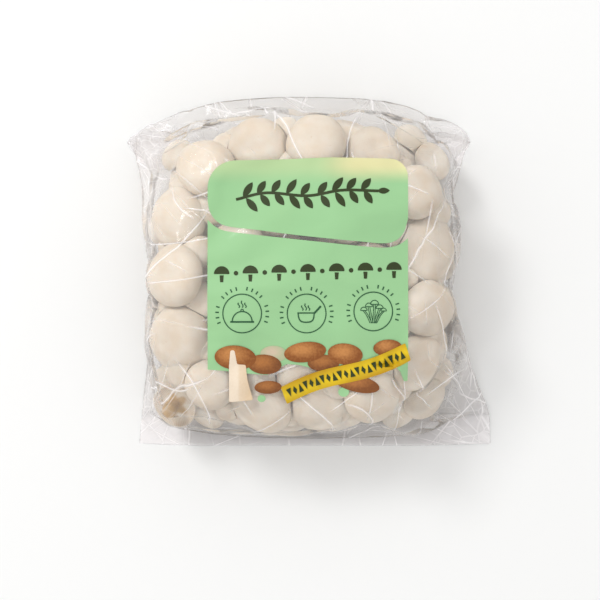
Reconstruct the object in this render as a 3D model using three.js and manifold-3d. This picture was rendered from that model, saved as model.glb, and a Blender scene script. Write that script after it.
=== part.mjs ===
// A bagged cluster of white beech mushrooms (bunapi shimeji), lying with its caps upwards.
// The mushrooms grow from one trimmed foot and fill a sealed pouch of clear film with a printed
// panel over the caps. Millimetres, +Z up, origin on the table under the middle of the whole.
import * as THREE from 'three';
import { mergeVertices } from 'three/addons/utils/BufferGeometryUtils.js';
import Module from 'manifold-3d';

// ---- Driving dimensions ----

const clearance = 0.3; // the gap kept wherever two pieces touch

const cluster = {
  halfWidth: 54, // to where the lowest ring's caps sit
  halfLength: 56,
  height: 46, // of the middle stem's top over the table
  squareness: 3, // exponent of the rings' rounded-square plan; 2 would be an ellipse
  turn: 0.37, // how far each ring starts round from the last, as a share of a turn
};

// Rings of mushrooms, from the middle outwards. spread and rise are shares of the cluster's half
// sizes and height, and tilt is how far the caps lean outwards, in degrees. Every other cap
// stands higher by the stagger, so that neighbours can overlap by the crowding. The skirt has no
// rise of its own: its caps stand just over the floor of the pouch.
const rings = [
  { name: 'centre', count: 1, spread: 0, rise: 1, tilt: 4, stagger: 0, crowding: 0 },
  { name: 'inner', count: 7, spread: 0.48, rise: 0.935, tilt: 13, stagger: 2, crowding: -0.6 },
  { name: 'outer', count: 15, spread: 0.915, rise: 0.76, tilt: 31, stagger: 4.5, crowding: 1.9 },
  { name: 'skirt', count: 17, spread: 1, rise: 0, tilt: 78, stagger: 2, crowding: 0.2 },
];

const mushroom = {
  stemRadius: 3.7,
  neck: 0.82, // the stem's top as a share of its radius
  capHeight: 0.9, // the cap's height as a share of its radius
  middleCap: 0.48, // the middle cap's radius as a share of the inner ring's
  gap: 1, // between neighbouring caps, and between neighbouring stems
  capVariation: 0.08, // how much cap sizes differ, as a share
  heightVariation: 1,
  tiltVariation: 5,
  radialSteps: 11,
};

const foot = { rim: 0.8, height: 13, crown: 1.5 };

const film = {
  thickness: 0.4, // the real film is 0.04; it is drawn thicker so that it is a sound solid
  slackSide: 3, // between the outermost caps and the film
  slackTop: 1,
  slackEnd: 5, // empty film past the caps at the upper end
  dome: 2.4, // how far the top falls from its middle to its shoulder
  squareness: 4.2,
  ventRadius: 2.5, // one breathing hole, punched in the underside
  ventX: 47,
};

const seal = {
  ear: 7.4, // how far the flattened tube stands out past each side of the pouch
  width: 11,
  thickness: 0.6,
  crimpPitch: 4.5,
  crimpDepth: 0.5,
  lowerShift: 5.6, // of the lower seal's middle from the pouch's, to one side
  upperShift: -1,
  lowerReach: 3, // of the lower seal's cut edge past the pouch
  upperTuck: 28, // of the upper seal's cut edge, folded back under the pouch
  tuckHeight: 1.9, // how far the pouch is held up over the folded seal
  webDepth: 26, // of the flat film that runs from the lower seal to the pouch's sides
};

const lap = { width: 14, thickness: 0.3, share: 0.75 }; // the tube's lengthwise seam, on its inside

const panel = {
  thickness: 0.3,
  halfWidth: 40.5,
  x: 3,
  top: 44.5,
  split: 11.5, // where the clear line crosses between the upper and lower fields
  bottom: -50,
  cornerRadius: 11,
  slit: 1.5, // the clear line's width
  slitRise: 10, // how far the line turns up at the sides
};

const band = { length: 52, width: 7.2, angle: 17, x: 18, y: -40, cornerRadius: 1.2 };

// ---- Worked out from them ----

const floorTop = film.thickness + lap.thickness + clearance;
const stemsStart = floorTop + foot.height + foot.crown + clearance;

const materials = {
  cap: new THREE.MeshStandardMaterial({ color: '#ece0cd', roughness: 0.55, metalness: 0 }),
  foot: new THREE.MeshStandardMaterial({ color: '#d9c8a4', roughness: 0.85, metalness: 0 }),
  film: new THREE.MeshStandardMaterial({ color: '#f2f2f4', roughness: 0.12, metalness: 0 }),
  green: new THREE.MeshStandardMaterial({ color: '#a0d59b', roughness: 0.35, metalness: 0 }),
  yellow: new THREE.MeshStandardMaterial({ color: '#e6c51d', roughness: 0.35, metalness: 0 }),
};
materials.film.transparent = true;
materials.film.opacity = 0.2;

const wasm = await Module();
wasm.setup();

const part = new THREE.Group();

// ---- Helpers ----

function addPiece(name, geometry, material) {
  const mesh = new THREE.Mesh(geometry, material);
  mesh.name = name;
  part.add(mesh);
  return mesh;
}

function bareGeometry(geometry) {
  geometry.deleteAttribute('normal');
  geometry.deleteAttribute('uv');
  return mergeVertices(geometry, 1e-3);
}

function toSolid(geometry) {
  const merged = bareGeometry(geometry);
  return new wasm.Manifold(
    new wasm.Mesh({
      numProp: 3,
      vertProperties: new Float32Array(merged.attributes.position.array),
      triVerts: new Uint32Array(merged.index.array),
    }),
  );
}

function toGeometry(solid) {
  const mesh = solid.getMesh();
  const geometry = new THREE.BufferGeometry();
  geometry.setAttribute('position', new THREE.BufferAttribute(new Float32Array(mesh.vertProperties), 3));
  geometry.setIndex(new THREE.BufferAttribute(new Uint32Array(mesh.triVerts), 1));
  geometry.computeVertexNormals();
  return geometry;
}

// An upright-sided block with a given plan.
function prism(shape, bottom, depth) {
  const geometry = new THREE.ExtrudeGeometry(shape, { depth, bevelEnabled: false, curveSegments: 8 });
  geometry.translate(0, 0, bottom);
  return toSolid(geometry);
}

function polygon(points) {
  return new THREE.Shape(points.map(([x, y]) => new THREE.Vector2(x, y)));
}

function profile(points) {
  return points.map(([r, z]) => new THREE.Vector2(r, z));
}

// A repeatable number from -1 to 1 for piece i, so that no two mushrooms are alike.
function wobble(i, salt) {
  const s = Math.sin(i * 12.9898 + salt * 78.233) * 43758.5453;
  return 2 * (s - Math.floor(s)) - 1;
}

// The point at an angle on a rounded square with the given half sides.
function onRoundedSquare(angle, halfX, halfY, squareness) {
  const power = 2 / squareness;
  const c = Math.cos(angle);
  const s = Math.sin(angle);
  return new THREE.Vector2(
    halfX * Math.sign(c) * Math.abs(c) ** power,
    halfY * Math.sign(s) * Math.abs(s) ** power,
  );
}

// ---- Mushrooms ----

// One mushroom's half outline from the middle of its cut foot to the top of its cap.
function mushroomOutline(capRadius, length) {
  const { stemRadius, neck, capHeight } = mushroom;
  const tall = capRadius * capHeight;
  const rim = length - tall * 0.8;
  return profile([
    [0, 0],
    [stemRadius, 0],
    [stemRadius * 0.94, (length - tall) * 0.45],
    [stemRadius * neck, length - tall * 0.72],
    [capRadius * 0.8, rim],
    [capRadius * 0.97, rim + tall * 0.12],
    [capRadius, rim + tall * 0.3],
    [capRadius * 0.88, length - tall * 0.26],
    [capRadius * 0.52, length - tall * 0.06],
    [0, length],
  ]);
}

// Bends a straight mushroom, turned round Y, so that its stem leaves the foot upright and its
// cap faces along capAxis. The cap itself keeps its shape.
function bendMushroom(geometry, neckAt, footPoint, neckPoint, capAxis) {
  const up = new THREE.Vector3(0, 0, 1);
  const reach = neckPoint.distanceTo(footPoint);
  const spine = new THREE.CubicBezierCurve3(
    footPoint,
    footPoint.clone().addScaledVector(up, reach * 0.45),
    neckPoint.clone().addScaledVector(capAxis, -reach * 0.4),
    neckPoint,
  );
  const side = new THREE.Vector3().crossVectors(up, capAxis).normalize();
  const position = geometry.attributes.position;
  for (let i = 0; i < position.count; i++) {
    const [x, along, z] = [position.getX(i), position.getY(i), position.getZ(i)];
    const share = THREE.MathUtils.clamp(along / neckAt, 0, 1);
    const inCap = share === 1 || Math.hypot(x, z) > mushroom.stemRadius * 1.05;
    const stemAxis = share === 0 ? up : spine.getTangentAt(share);
    const axis = inCap ? capAxis : stemAxis;
    const centre = inCap
      ? neckPoint.clone().addScaledVector(capAxis, along - neckAt)
      : spine.getPointAt(share);
    const across = new THREE.Vector3().crossVectors(axis, side).normalize();
    const moved = centre.addScaledVector(across, x).addScaledVector(side, z);
    position.setXYZ(i, moved.x, moved.y, moved.z);
  }
  geometry.computeVertexNormals();
  return geometry;
}

function addMushroom(name, capRadius, footPoint, neckPoint, capAxis) {
  const capAbove = capRadius * mushroom.capHeight * 0.72;
  const neckAt = neckPoint.distanceTo(footPoint);
  const outline = mushroomOutline(capRadius, neckAt + capAbove);
  const straight = bareGeometry(new THREE.LatheGeometry(outline, mushroom.radialSteps));
  return addPiece(name, bendMushroom(straight, neckAt, footPoint, neckPoint, capAxis), materials.cap);
}

// Each ring's own sizes: where its caps and stems stand, and its average cap radius.
function layOutRings() {
  const stemPitch = 2 * mushroom.stemRadius + mushroom.gap;
  let footRadius = 0;
  const laidOut = rings.map((ring, index) => {
    const halfX = cluster.halfWidth * ring.spread;
    const halfY = cluster.halfLength * ring.spread;
    if (index > 0) footRadius = Math.max((ring.count * stemPitch) / (2 * Math.PI), footRadius + stemPitch);
    const corners = Array.from({ length: 72 }, (_, k) => {
      const p = onRoundedSquare((k / 72) * 2 * Math.PI, halfX, halfY, cluster.squareness);
      return new THREE.Vector3(p.x, p.y, 0);
    });
    const path = new THREE.CatmullRomCurve3(corners, true);
    const capRadius = (path.getLength() / ring.count + ring.crowding - mushroom.gap) / 2;
    return { ...ring, index, halfX, footRadius, path, capRadius, capZ: cluster.height * ring.rise };
  });
  const [middle, inner, outer, skirt] = laidOut;
  middle.capRadius = inner.halfX * mushroom.middleCap;
  // The skirt's caps fill the room between the floor and the lower rims of the outer ring's.
  const outerRims = outer.capZ - outer.capRadius * Math.sin(THREE.MathUtils.degToRad(outer.tilt));
  const floorUnder = floorTop + seal.tuckHeight;
  const room = outerRims - floorUnder - skirt.stagger - 2 * mushroom.heightVariation;
  skirt.capRadius = Math.min(skirt.capRadius, room / 2);
  skirt.capZ = floorUnder + skirt.capRadius + clearance;
  return laidOut;
}

// A ring of mushrooms. Its caps share out the ring's length, each by its own width.
function addRing(ring) {
  const { index, count, path } = ring;
  const widths = Array.from({ length: count }, (_, k) => 1 + mushroom.capVariation * wobble(k, index));
  const whole = widths.reduce((sum, w) => sum + w, 0);
  const start = index * cluster.turn;
  let along = start;
  for (let k = 0; k < count; k++) {
    const share = widths[k] / whole;
    const at = index > 0 ? path.getPointAt((along + share / 2) % 1) : new THREE.Vector3();
    along += share;
    const direction = Math.atan2(at.y, at.x);
    const tilt = THREE.MathUtils.degToRad(ring.tilt + mushroom.tiltVariation * wobble(k, index + 10));
    const outwards = new THREE.Vector3(Math.cos(direction), Math.sin(direction), 0);
    const capAxis = new THREE.Vector3(0, 0, Math.cos(tilt)).addScaledVector(outwards, Math.sin(tilt));
    const footAngle = ((k + 0.5) / count + start) * 2 * Math.PI;
    const footPoint = new THREE.Vector3(
      ring.footRadius * Math.cos(footAngle),
      ring.footRadius * Math.sin(footAngle),
      stemsStart,
    );
    const lift = (k % 2) * ring.stagger + mushroom.heightVariation * wobble(k, index + 20);
    const neckPoint = new THREE.Vector3(at.x, at.y, ring.capZ + lift);
    const number = count > 1 ? `_${String(k + 1).padStart(2, '0')}` : '';
    const capRadius = ring.capRadius * share * count;
    addMushroom(`mushroom_${ring.name}${number}`, capRadius, footPoint, neckPoint, capAxis);
  }
}

// The foot that all the stems grow from, trimmed flat underneath.
function addFoot(radius) {
  const outline = profile([
    [0, floorTop],
    [radius * 0.82, floorTop],
    [radius * 0.97, floorTop + foot.height * 0.3],
    [radius, floorTop + foot.height * 0.7],
    [radius * 0.97, floorTop + foot.height],
    [0, floorTop + foot.height + foot.crown],
  ]);
  const geometry = new THREE.LatheGeometry(outline, 28);
  geometry.rotateX(Math.PI / 2);
  addPiece('cluster_foot', geometry, materials.foot);
}

// ---- Film pouch ----

// The pouch's half sizes and place, drawn round the mushrooms with a little slack.
function fitPouch() {
  const caps = new THREE.Box3().setFromObject(part);
  const size = caps.getSize(new THREE.Vector3());
  const centre = caps.getCenter(new THREE.Vector3());
  const halfX = size.x / 2 + film.slackSide + film.thickness;
  const halfY = (size.y + film.slackEnd) / 2 + film.slackSide + film.thickness;
  const y = centre.y + film.slackEnd / 2;
  return {
    x: centre.x,
    y,
    halfX,
    halfY,
    height: caps.max.z + film.slackTop + film.thickness,
    tube: halfX + seal.ear,
    lowerY: y - halfY - seal.lowerReach,
    upperY: y + halfY - seal.upperTuck,
  };
}

// How far the floor of the pouch is held up at a place, by the seal folded under its upper end.
function floorLift(pouch, y) {
  return seal.tuckHeight * THREE.MathUtils.smoothstep(y, pouch.upperY - 8, pouch.upperY - 1);
}

// A solid with the pouch's outline, smaller by the inset: a turned shape squared off in plan.
function pillow(pouch, inset) {
  const tall = pouch.height - film.dome;
  const outline = profile([
    [0, 0],
    [0.5, 0],
    [0.72, 0],
    [0.86, 0],
    [0.94, 0.06],
    [0.985, 0.2],
    [1, 0.42],
    [0.985, 0.62],
    [0.93, 0.82],
    [0.84, 0.95],
    [0.72, 1],
    [0.5, 1 + (film.dome * 0.55) / tall],
    [0.25, 1 + (film.dome * 0.88) / tall],
    [0, 1 + film.dome / tall],
  ]);
  const geometry = new THREE.LatheGeometry(outline, 40);
  const position = geometry.attributes.position;
  for (let i = 0; i < position.count; i++) {
    const [x, level, y] = [position.getX(i), position.getY(i), -position.getZ(i)];
    const reach = Math.hypot(x, y);
    const p = onRoundedSquare(Math.atan2(y, x), 1, 1, film.squareness).multiplyScalar(reach);
    const placeX = pouch.x + p.x * (pouch.halfX - inset);
    const placeY = pouch.y + p.y * (pouch.halfY - inset);
    const height = inset + level * (tall - 2 * inset);
    const fade = 1 - THREE.MathUtils.clamp(level * 3, 0, 1);
    position.setXYZ(i, placeX, placeY, height + floorLift(pouch, placeY) * fade);
  }
  return toSolid(geometry);
}

// One end seal: a crimped strip right across the flattened tube.
function sealStrip(pouch, x, y) {
  const crimps = 2 * Math.round(pouch.tube / seal.crimpPitch);
  const pitch = (2 * pouch.tube) / crimps;
  const crimp = (_, k) => [k * pitch - pouch.tube, (k % 2) * seal.crimpDepth];
  const under = Array.from({ length: crimps + 1 }, crimp);
  const over = under.map(([across, z]) => [across, z + seal.thickness]).reverse();
  const settings = { depth: seal.width, bevelEnabled: false };
  const geometry = new THREE.ExtrudeGeometry(polygon([...under, ...over]), settings);
  geometry.rotateX(Math.PI / 2);
  geometry.translate(x, y + seal.width, 0);
  return toSolid(geometry);
}

// The flat film between the lower seal and the sides of the pouch.
function lowerWeb(pouch) {
  const inner = pouch.lowerY + seal.width - 0.5;
  const half = pouch.tube - clearance;
  const shape = polygon([
    [pouch.x + seal.lowerShift - half, inner],
    [pouch.x + seal.lowerShift + half, inner],
    [pouch.x + pouch.halfX * 0.97, inner + seal.webDepth],
    [pouch.x - pouch.halfX * 0.97, inner + seal.webDepth],
  ]);
  return prism(shape, 0.1, seal.thickness);
}

// The upper seal's fold: the film turns under and joins the floor of the pouch along this line.
function upperFold(pouch) {
  const outer = pouch.upperY + seal.width;
  const half = pouch.tube - clearance;
  const shape = polygon([
    [pouch.x + seal.upperShift - half, outer - 1],
    [pouch.x + seal.upperShift + half, outer - 1],
    [pouch.x + pouch.halfX * 0.9, outer + 4],
    [pouch.x - pouch.halfX * 0.9, outer + 4],
  ]);
  return prism(shape, 0.2, seal.tuckHeight);
}

function addPouch(pouch) {
  const outside = pillow(pouch, 0)
    .add(sealStrip(pouch, pouch.x + seal.lowerShift, pouch.lowerY))
    .add(lowerWeb(pouch))
    .add(sealStrip(pouch, pouch.x + seal.upperShift, pouch.upperY))
    .add(upperFold(pouch));
  const lapStrip = new THREE.BoxGeometry(lap.width, 2 * pouch.halfY * lap.share, 2 * lap.thickness);
  lapStrip.translate(pouch.x, pouch.upperY - 10 - pouch.halfY * lap.share, film.thickness);
  const inside = pillow(pouch, film.thickness).subtract(toSolid(lapStrip));
  const vent = new THREE.CylinderGeometry(film.ventRadius, film.ventRadius, 8 * film.thickness, 16);
  vent.rotateX(Math.PI / 2);
  vent.translate(pouch.x + film.ventX, pouch.y, 0);
  addPiece('film_pouch', toGeometry(outside.subtract(inside).subtract(toSolid(vent))), materials.film);
}

// ---- Print on the film ----

// A printed layer: a skin lying over the film at a level, cut to a plan.
function printedLayer(pouch, name, shape, level, material) {
  const skin = pillow(pouch, -level - panel.thickness).subtract(pillow(pouch, -level));
  addPiece(name, toGeometry(skin.intersect(prism(shape, pouch.height / 2, pouch.height))), material);
}

// The clear line that crosses the panel: low through the middle and turned up at both sides.
function slitLine(offset) {
  const { halfWidth, split, slitRise } = panel;
  return [
    [-halfWidth, split + slitRise],
    [-halfWidth + 2, split + slitRise * 0.5],
    [-halfWidth + 7, split + slitRise * 0.12],
    [-halfWidth + 14, split],
    [0, split - 1.2],
    [halfWidth - 16, split - 1.8],
    [halfWidth - 6, split - 0.4],
    [halfWidth - 1.5, split + slitRise * 0.35],
    [halfWidth, split + slitRise * 0.6],
  ].map(([x, y]) => [x, y + offset]);
}

function addPanel(pouch) {
  const { halfWidth, top, bottom, cornerRadius: r, slit } = panel;
  const place = ([x, y]) => [pouch.x + panel.x + x, pouch.y + y];
  const upper = new THREE.Shape();
  const [left, high] = place([-halfWidth, top]);
  const right = left + 2 * halfWidth;
  upper.moveTo(left, high - r);
  upper.absarc(left + r, high - r, r, Math.PI, Math.PI / 2, true);
  upper.absarc(right - r, high - r, r, Math.PI / 2, 0, true);
  slitLine(slit / 2).reverse().map(place).forEach(([x, y]) => upper.lineTo(x, y));
  upper.closePath();
  printedLayer(pouch, 'print_upper_field', upper, clearance, materials.green);

  const corners = [[-halfWidth, bottom], [halfWidth, bottom], ...slitLine(-slit / 2).reverse()];
  printedLayer(pouch, 'print_lower_field', polygon(corners.map(place)), clearance, materials.green);
}

function addBand(pouch) {
  const r = band.cornerRadius;
  const [l, w] = [band.length / 2 - r, band.width / 2 - r];
  const turn = THREE.MathUtils.degToRad(band.angle);
  const shape = new THREE.Shape();
  [[-l, -w], [l, -w], [l, w], [-l, w]].forEach(([x, y], k) => {
    const centreX = pouch.x + band.x + x * Math.cos(turn) - y * Math.sin(turn);
    const centreY = pouch.y + band.y + x * Math.sin(turn) + y * Math.cos(turn);
    const from = turn + Math.PI + (k * Math.PI) / 2;
    shape.absarc(centreX, centreY, r, from, from + Math.PI / 2, false);
  });
  shape.closePath();
  printedLayer(pouch, 'print_yellow_band', shape, 2 * clearance + panel.thickness, materials.yellow);
}

// ---- Assembly ----

const laidOut = layOutRings();
laidOut.forEach(addRing);
addFoot(laidOut[laidOut.length - 1].footRadius + mushroom.stemRadius + foot.rim);

const pouch = fitPouch();
addPouch(pouch);
addPanel(pouch);
addBand(pouch);

// The origin goes under the middle of the whole, ears included.
const middle = new THREE.Box3().setFromObject(part, true).getCenter(new THREE.Vector3());
part.position.set(-middle.x, -middle.y, 0);

export default part;
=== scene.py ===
"""A packed beech mushroom cluster: caps on one foot, in a clear film pouch with a printed panel.

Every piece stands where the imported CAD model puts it. Lengths are in metres unless a name ends
in _mm, and colours are sRGB hex values.
"""

import logging
import math
from collections.abc import Callable, Sequence
from dataclasses import dataclass, field
from enum import Enum
from functools import partial

import bpy
import numpy as np
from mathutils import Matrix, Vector, noise
from mathutils.bvhtree import BVHTree
from mathutils.geometry import delaunay_2d_cdt


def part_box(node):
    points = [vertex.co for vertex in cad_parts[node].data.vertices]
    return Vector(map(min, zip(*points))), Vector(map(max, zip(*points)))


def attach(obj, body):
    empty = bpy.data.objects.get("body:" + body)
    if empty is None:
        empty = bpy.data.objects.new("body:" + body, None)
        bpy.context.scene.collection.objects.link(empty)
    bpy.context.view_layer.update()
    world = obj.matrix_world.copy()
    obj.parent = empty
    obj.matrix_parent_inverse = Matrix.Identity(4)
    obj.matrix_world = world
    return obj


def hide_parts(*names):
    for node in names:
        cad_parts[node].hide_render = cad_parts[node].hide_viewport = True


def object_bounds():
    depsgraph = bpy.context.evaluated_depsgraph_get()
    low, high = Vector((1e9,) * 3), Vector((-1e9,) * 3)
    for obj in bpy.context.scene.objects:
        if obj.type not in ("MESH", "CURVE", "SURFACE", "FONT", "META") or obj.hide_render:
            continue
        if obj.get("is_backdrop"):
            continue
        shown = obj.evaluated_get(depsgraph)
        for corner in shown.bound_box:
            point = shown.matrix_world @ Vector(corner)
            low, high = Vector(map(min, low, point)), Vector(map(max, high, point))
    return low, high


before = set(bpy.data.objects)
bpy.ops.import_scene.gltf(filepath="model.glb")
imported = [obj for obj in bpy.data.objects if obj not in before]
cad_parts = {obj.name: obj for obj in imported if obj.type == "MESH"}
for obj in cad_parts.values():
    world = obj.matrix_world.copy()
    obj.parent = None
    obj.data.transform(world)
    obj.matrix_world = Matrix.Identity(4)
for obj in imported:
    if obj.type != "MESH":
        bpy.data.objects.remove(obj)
CAD_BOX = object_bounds()

log = logging.getLogger("mushroom_pack")

MM = 0.001


# ---------------------------------------------------------------------------------------------
# Small helpers
# ---------------------------------------------------------------------------------------------


def srgb(hex_code: str) -> tuple[float, float, float, float]:
    """Turns an sRGB hex colour into the linear colour that a shader takes.

    Args:
        hex_code: six hex digits, with or without a leading hash.

    Returns:
        Linear red, green and blue, and an alpha of 1.
    """
    digits = hex_code.lstrip("#")
    channels = [int(digits[i : i + 2], 16) / 255 for i in (0, 2, 4)]
    linear = [c / 12.92 if c <= 0.04045 else ((c + 0.055) / 1.055) ** 2.4 for c in channels]
    return (linear[0], linear[1], linear[2], 1.0)


def per_mm(length_mm: float) -> float:
    """The texture scale whose features are about as long as this."""
    return 1 / (length_mm * MM)


def add_node(
    tree: bpy.types.NodeTree,
    kind: str,
    inputs: dict | None = None,
    out: int | str = 0,
    **properties: object,
) -> bpy.types.NodeSocket | None:
    """Adds one shader node, with its settings and its incoming links.

    Args:
        tree: the node tree to add to.
        kind: the node's type, without its "ShaderNode" prefix.
        inputs: what each input, by name or number, gets: a socket is linked, a value is set.
        out: the output to return.
        **properties: the node's own properties.

    Returns:
        The output asked for, or None where the node has none.
    """
    node = tree.nodes.new("ShaderNode" + kind)
    for key, value in properties.items():
        setattr(node, key, value)
    for key, value in (inputs or {}).items():
        if isinstance(value, bpy.types.NodeSocket):
            tree.links.new(value, node.inputs[key])
        else:
            node.inputs[key].default_value = value
    return node.outputs[out] if node.outputs else None


def deselect_all() -> None:
    """Leaves object mode with nothing selected and nothing active."""
    if bpy.context.object is not None and bpy.context.object.mode != "OBJECT":
        bpy.ops.object.mode_set(mode="OBJECT")
    bpy.ops.object.select_all(action="DESELECT")
    bpy.context.view_layer.objects.active = None


def select_only(obj: bpy.types.Object) -> None:
    """Selects one object and makes it active."""
    deselect_all()
    obj.select_set(True)
    bpy.context.view_layer.objects.active = obj


def apply_modifier(obj: bpy.types.Object, kind: str, **settings: object) -> None:
    """Adds a modifier with its settings and applies it.

    Args:
        obj: the mesh object.
        kind: the modifier's type, such as "SUBSURF".
        **settings: the modifier's own properties.
    """
    select_only(obj)
    modifier = obj.modifiers.new(kind.lower(), kind)
    for key, value in settings.items():
        setattr(modifier, key, value)
    bpy.ops.object.modifier_apply(modifier=modifier.name)


def coordinates(obj: bpy.types.Object) -> np.ndarray:
    """The vertex places of a mesh object, as rows of x, y and z."""
    places = np.empty(len(obj.data.vertices) * 3, np.float64)
    obj.data.vertices.foreach_get("co", places)
    return places.reshape(-1, 3)


def set_coordinates(obj: bpy.types.Object, places: np.ndarray) -> None:
    """Moves the vertices of a mesh object to new places."""
    obj.data.vertices.foreach_set("co", np.round(places, 7).astype(np.float32).ravel())
    obj.data.update()


def surface(obj: bpy.types.Object) -> BVHTree:
    """An object's surface, for casting rays and finding the nearest spot."""
    faces = [tuple(p.vertices) for p in obj.data.polygons]
    return BVHTree.FromPolygons([Vector(p) for p in coordinates(obj)], faces)


def mesh_object(
    name: str, places: np.ndarray, faces: Sequence[Sequence[int]]
) -> bpy.types.Object:
    """Makes a mesh object from vertex places and faces.

    Args:
        name: the object's name.
        places: rows of x, y and z.
        faces: the vertex numbers of each face, going round it.

    Returns:
        The new object, linked to the scene.
    """
    mesh = bpy.data.meshes.new(name)
    mesh.from_pydata([tuple(p) for p in places], [], [tuple(f) for f in faces])
    mesh.update()
    obj = bpy.data.objects.new(name, mesh)
    bpy.context.scene.collection.objects.link(obj)
    return obj


def in_order(obj: bpy.types.Object) -> bpy.types.Object:
    """Rebuilds a mesh object with its points and faces in a settled order.

    Edit-mode operators may number the points differently each time, and what is worked out from
    them then differs a little.

    Args:
        obj: the mesh object, which is removed.

    Returns:
        The new object, with the same name.
    """
    places = np.round(coordinates(obj), 6)
    order = np.lexsort((places[:, 2], places[:, 1], places[:, 0]))
    rank = np.argsort(order)
    loops = [[int(rank[v]) for v in p.vertices] for p in obj.data.polygons]
    faces = sorted(tuple(f[f.index(min(f)) :] + f[: f.index(min(f))]) for f in loops)
    name = obj.name
    bpy.data.objects.remove(obj)
    return mesh_object(name, places[order], faces)


def finish(
    obj: bpy.types.Object, material: bpy.types.Material, slot: str, node: str | None = None
) -> None:
    """Gives a finished piece its material and fixes it to the pack.

    Args:
        obj: the piece.
        material: its material.
        slot: not used.
        node: the CAD node that the piece takes the place of, if there is one.
    """
    obj.data.materials.clear()
    obj.data.materials.append(material)
    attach(obj, "root")
    if node:
        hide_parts(node)


def close_up(obj: bpy.types.Object) -> None:
    """Turns every face of a mesh outwards."""
    select_only(obj)
    bpy.ops.object.mode_set(mode="EDIT")
    bpy.ops.mesh.select_all(action="SELECT")
    bpy.ops.mesh.normals_make_consistent(inside=False)
    bpy.ops.object.mode_set(mode="OBJECT")


def store(obj: bpy.types.Object, name: str, values: Sequence[float] | np.ndarray) -> None:
    """Stores one number a point, for a material to read."""
    obj.data.attributes.new(name, "FLOAT", "POINT").data.foreach_set("value", values)


def shade_smooth(obj: bpy.types.Object) -> None:
    """Shades every face of a mesh smoothly."""
    obj.data.polygons.foreach_set("use_smooth", [True] * len(obj.data.polygons))
    obj.data.update()


def smoothstep(low: float, high: float, value: np.ndarray | float) -> np.ndarray:
    """A smooth rise from 0 at low to 1 at high."""
    t = np.clip((np.asarray(value, float) - low) / (high - low), 0, 1)
    return t * t * (3 - 2 * t)


def unit(vectors: np.ndarray) -> np.ndarray:
    """Vectors brought to a length of one."""
    length = np.linalg.norm(vectors, axis=-1, keepdims=True)
    return vectors / np.maximum(length, 1e-12)


# ---------------------------------------------------------------------------------------------
# Finishes
# ---------------------------------------------------------------------------------------------


def new_material(name: str) -> tuple[bpy.types.Material, bpy.types.NodeTree]:
    """Starts a material of the given name, and returns it and its empty node tree."""
    material = bpy.data.materials.new(name)
    material.use_nodes = True
    tree = material.node_tree
    tree.nodes.clear()
    return material, tree


@dataclass(frozen=True)
class MushroomFlesh:
    """The skin of a fresh white beech mushroom.

    It is firm and satin, with a little light passing into it. The caps are warm ivory, faintly
    blotched, and deeper towards the margin. The gills under them are fine and close, with painted
    shade in the grooves between them, and a torn stem has dried to tan.
    """

    light: str = "#eee4d5"
    deep: str = "#e8d9c4"
    stain: str = "#d2b48c"
    gill_groove_painted_shade: str = "#d9c6aa"
    torn: str = "#c9a468"
    blotch_mm: float = 7.0
    speck_mm: float = 1.1
    pore_mm: float = 1 / 2.6
    gills: float = 64.0
    roughness: float = 0.46
    scatter_mm: float = 2.2

    def build(self) -> bpy.types.Material:
        """Makes the material."""
        material, tree = new_material("white_beech_mushroom_skin")
        add = partial(add_node, tree)
        place = add("TexCoord", out="Object")
        large = {"Scale": per_mm(self.blotch_mm), "Detail": 3.0}
        blotches = add("TexNoise", {"Vector": place, **large})
        tone = add("MapRange", {"Value": blotches, "From Min": 0.38, "From Max": 0.68})
        colour = add("Mix", {0: tone, 6: srgb(self.light), 7: srgb(self.deep)}, 2, data_type="RGBA")
        specks = add("TexNoise", {"Vector": place, "Scale": per_mm(self.speck_mm), "Detail": 2.0})
        stained = add(
            "MapRange", {"Value": specks, "From Min": 0.66, "From Max": 0.78, "To Max": 0.35}
        )
        colour = add("Mix", {0: stained, 6: colour, 7: srgb(self.stain)}, 2, data_type="RGBA")
        profile = add("Attribute", out="Vector", attribute_name="profile")
        parts = add("SeparateXYZ", {0: profile}).node.outputs
        around = add("Math", {0: parts["Y"], 1: parts["X"]}, operation="ARCTAN2")
        wave = add("Math", {0: around, 1: self.gills}, operation="MULTIPLY")
        ridge = add("Math", {0: wave}, operation="SINE")
        under = add("MapRange", {"Value": parts["Z"], "From Min": 0.5, "From Max": 0.6})
        # Painted shade: the grooves between the gill ridges are darkened towards the groove colour.
        gill = add(
            "MapRange",
            {"Value": ridge, "From Min": -1.0, "From Max": 0.6, "To Min": 0.75, "To Max": 0.0},
        )
        gill = add("Math", {0: gill, 1: under}, operation="MULTIPLY")
        colour = add("Mix", {0: gill, 6: colour, 7: srgb(self.gill_groove_painted_shade)}, 2, data_type="RGBA")
        torn = add("Attribute", out="Fac", attribute_name="torn")
        colour = add("Mix", {0: torn, 6: colour, 7: srgb(self.torn)}, 2, data_type="RGBA")
        pores = add("TexNoise", {"Vector": place, "Scale": per_mm(self.pore_mm), "Detail": 2.0})
        sunk = add("Math", {0: gill, 1: -3.0}, operation="MULTIPLY")
        height = add("Math", {0: pores, 1: sunk}, operation="ADD")
        bump = add("Bump", {"Height": height, "Strength": 0.35, "Distance": 0.12 * MM})
        skin = {
            "Base Color": colour,
            "Normal": bump,
            "Roughness": self.roughness,
            "IOR": 1.42,
            "Subsurface Weight": 0.22,
            "Subsurface Scale": self.scatter_mm * MM,
            "Subsurface Radius": (1.0, 0.72, 0.5),
        }
        add("OutputMaterial", {"Surface": add("BsdfPrincipled", skin)})
        return material


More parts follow.
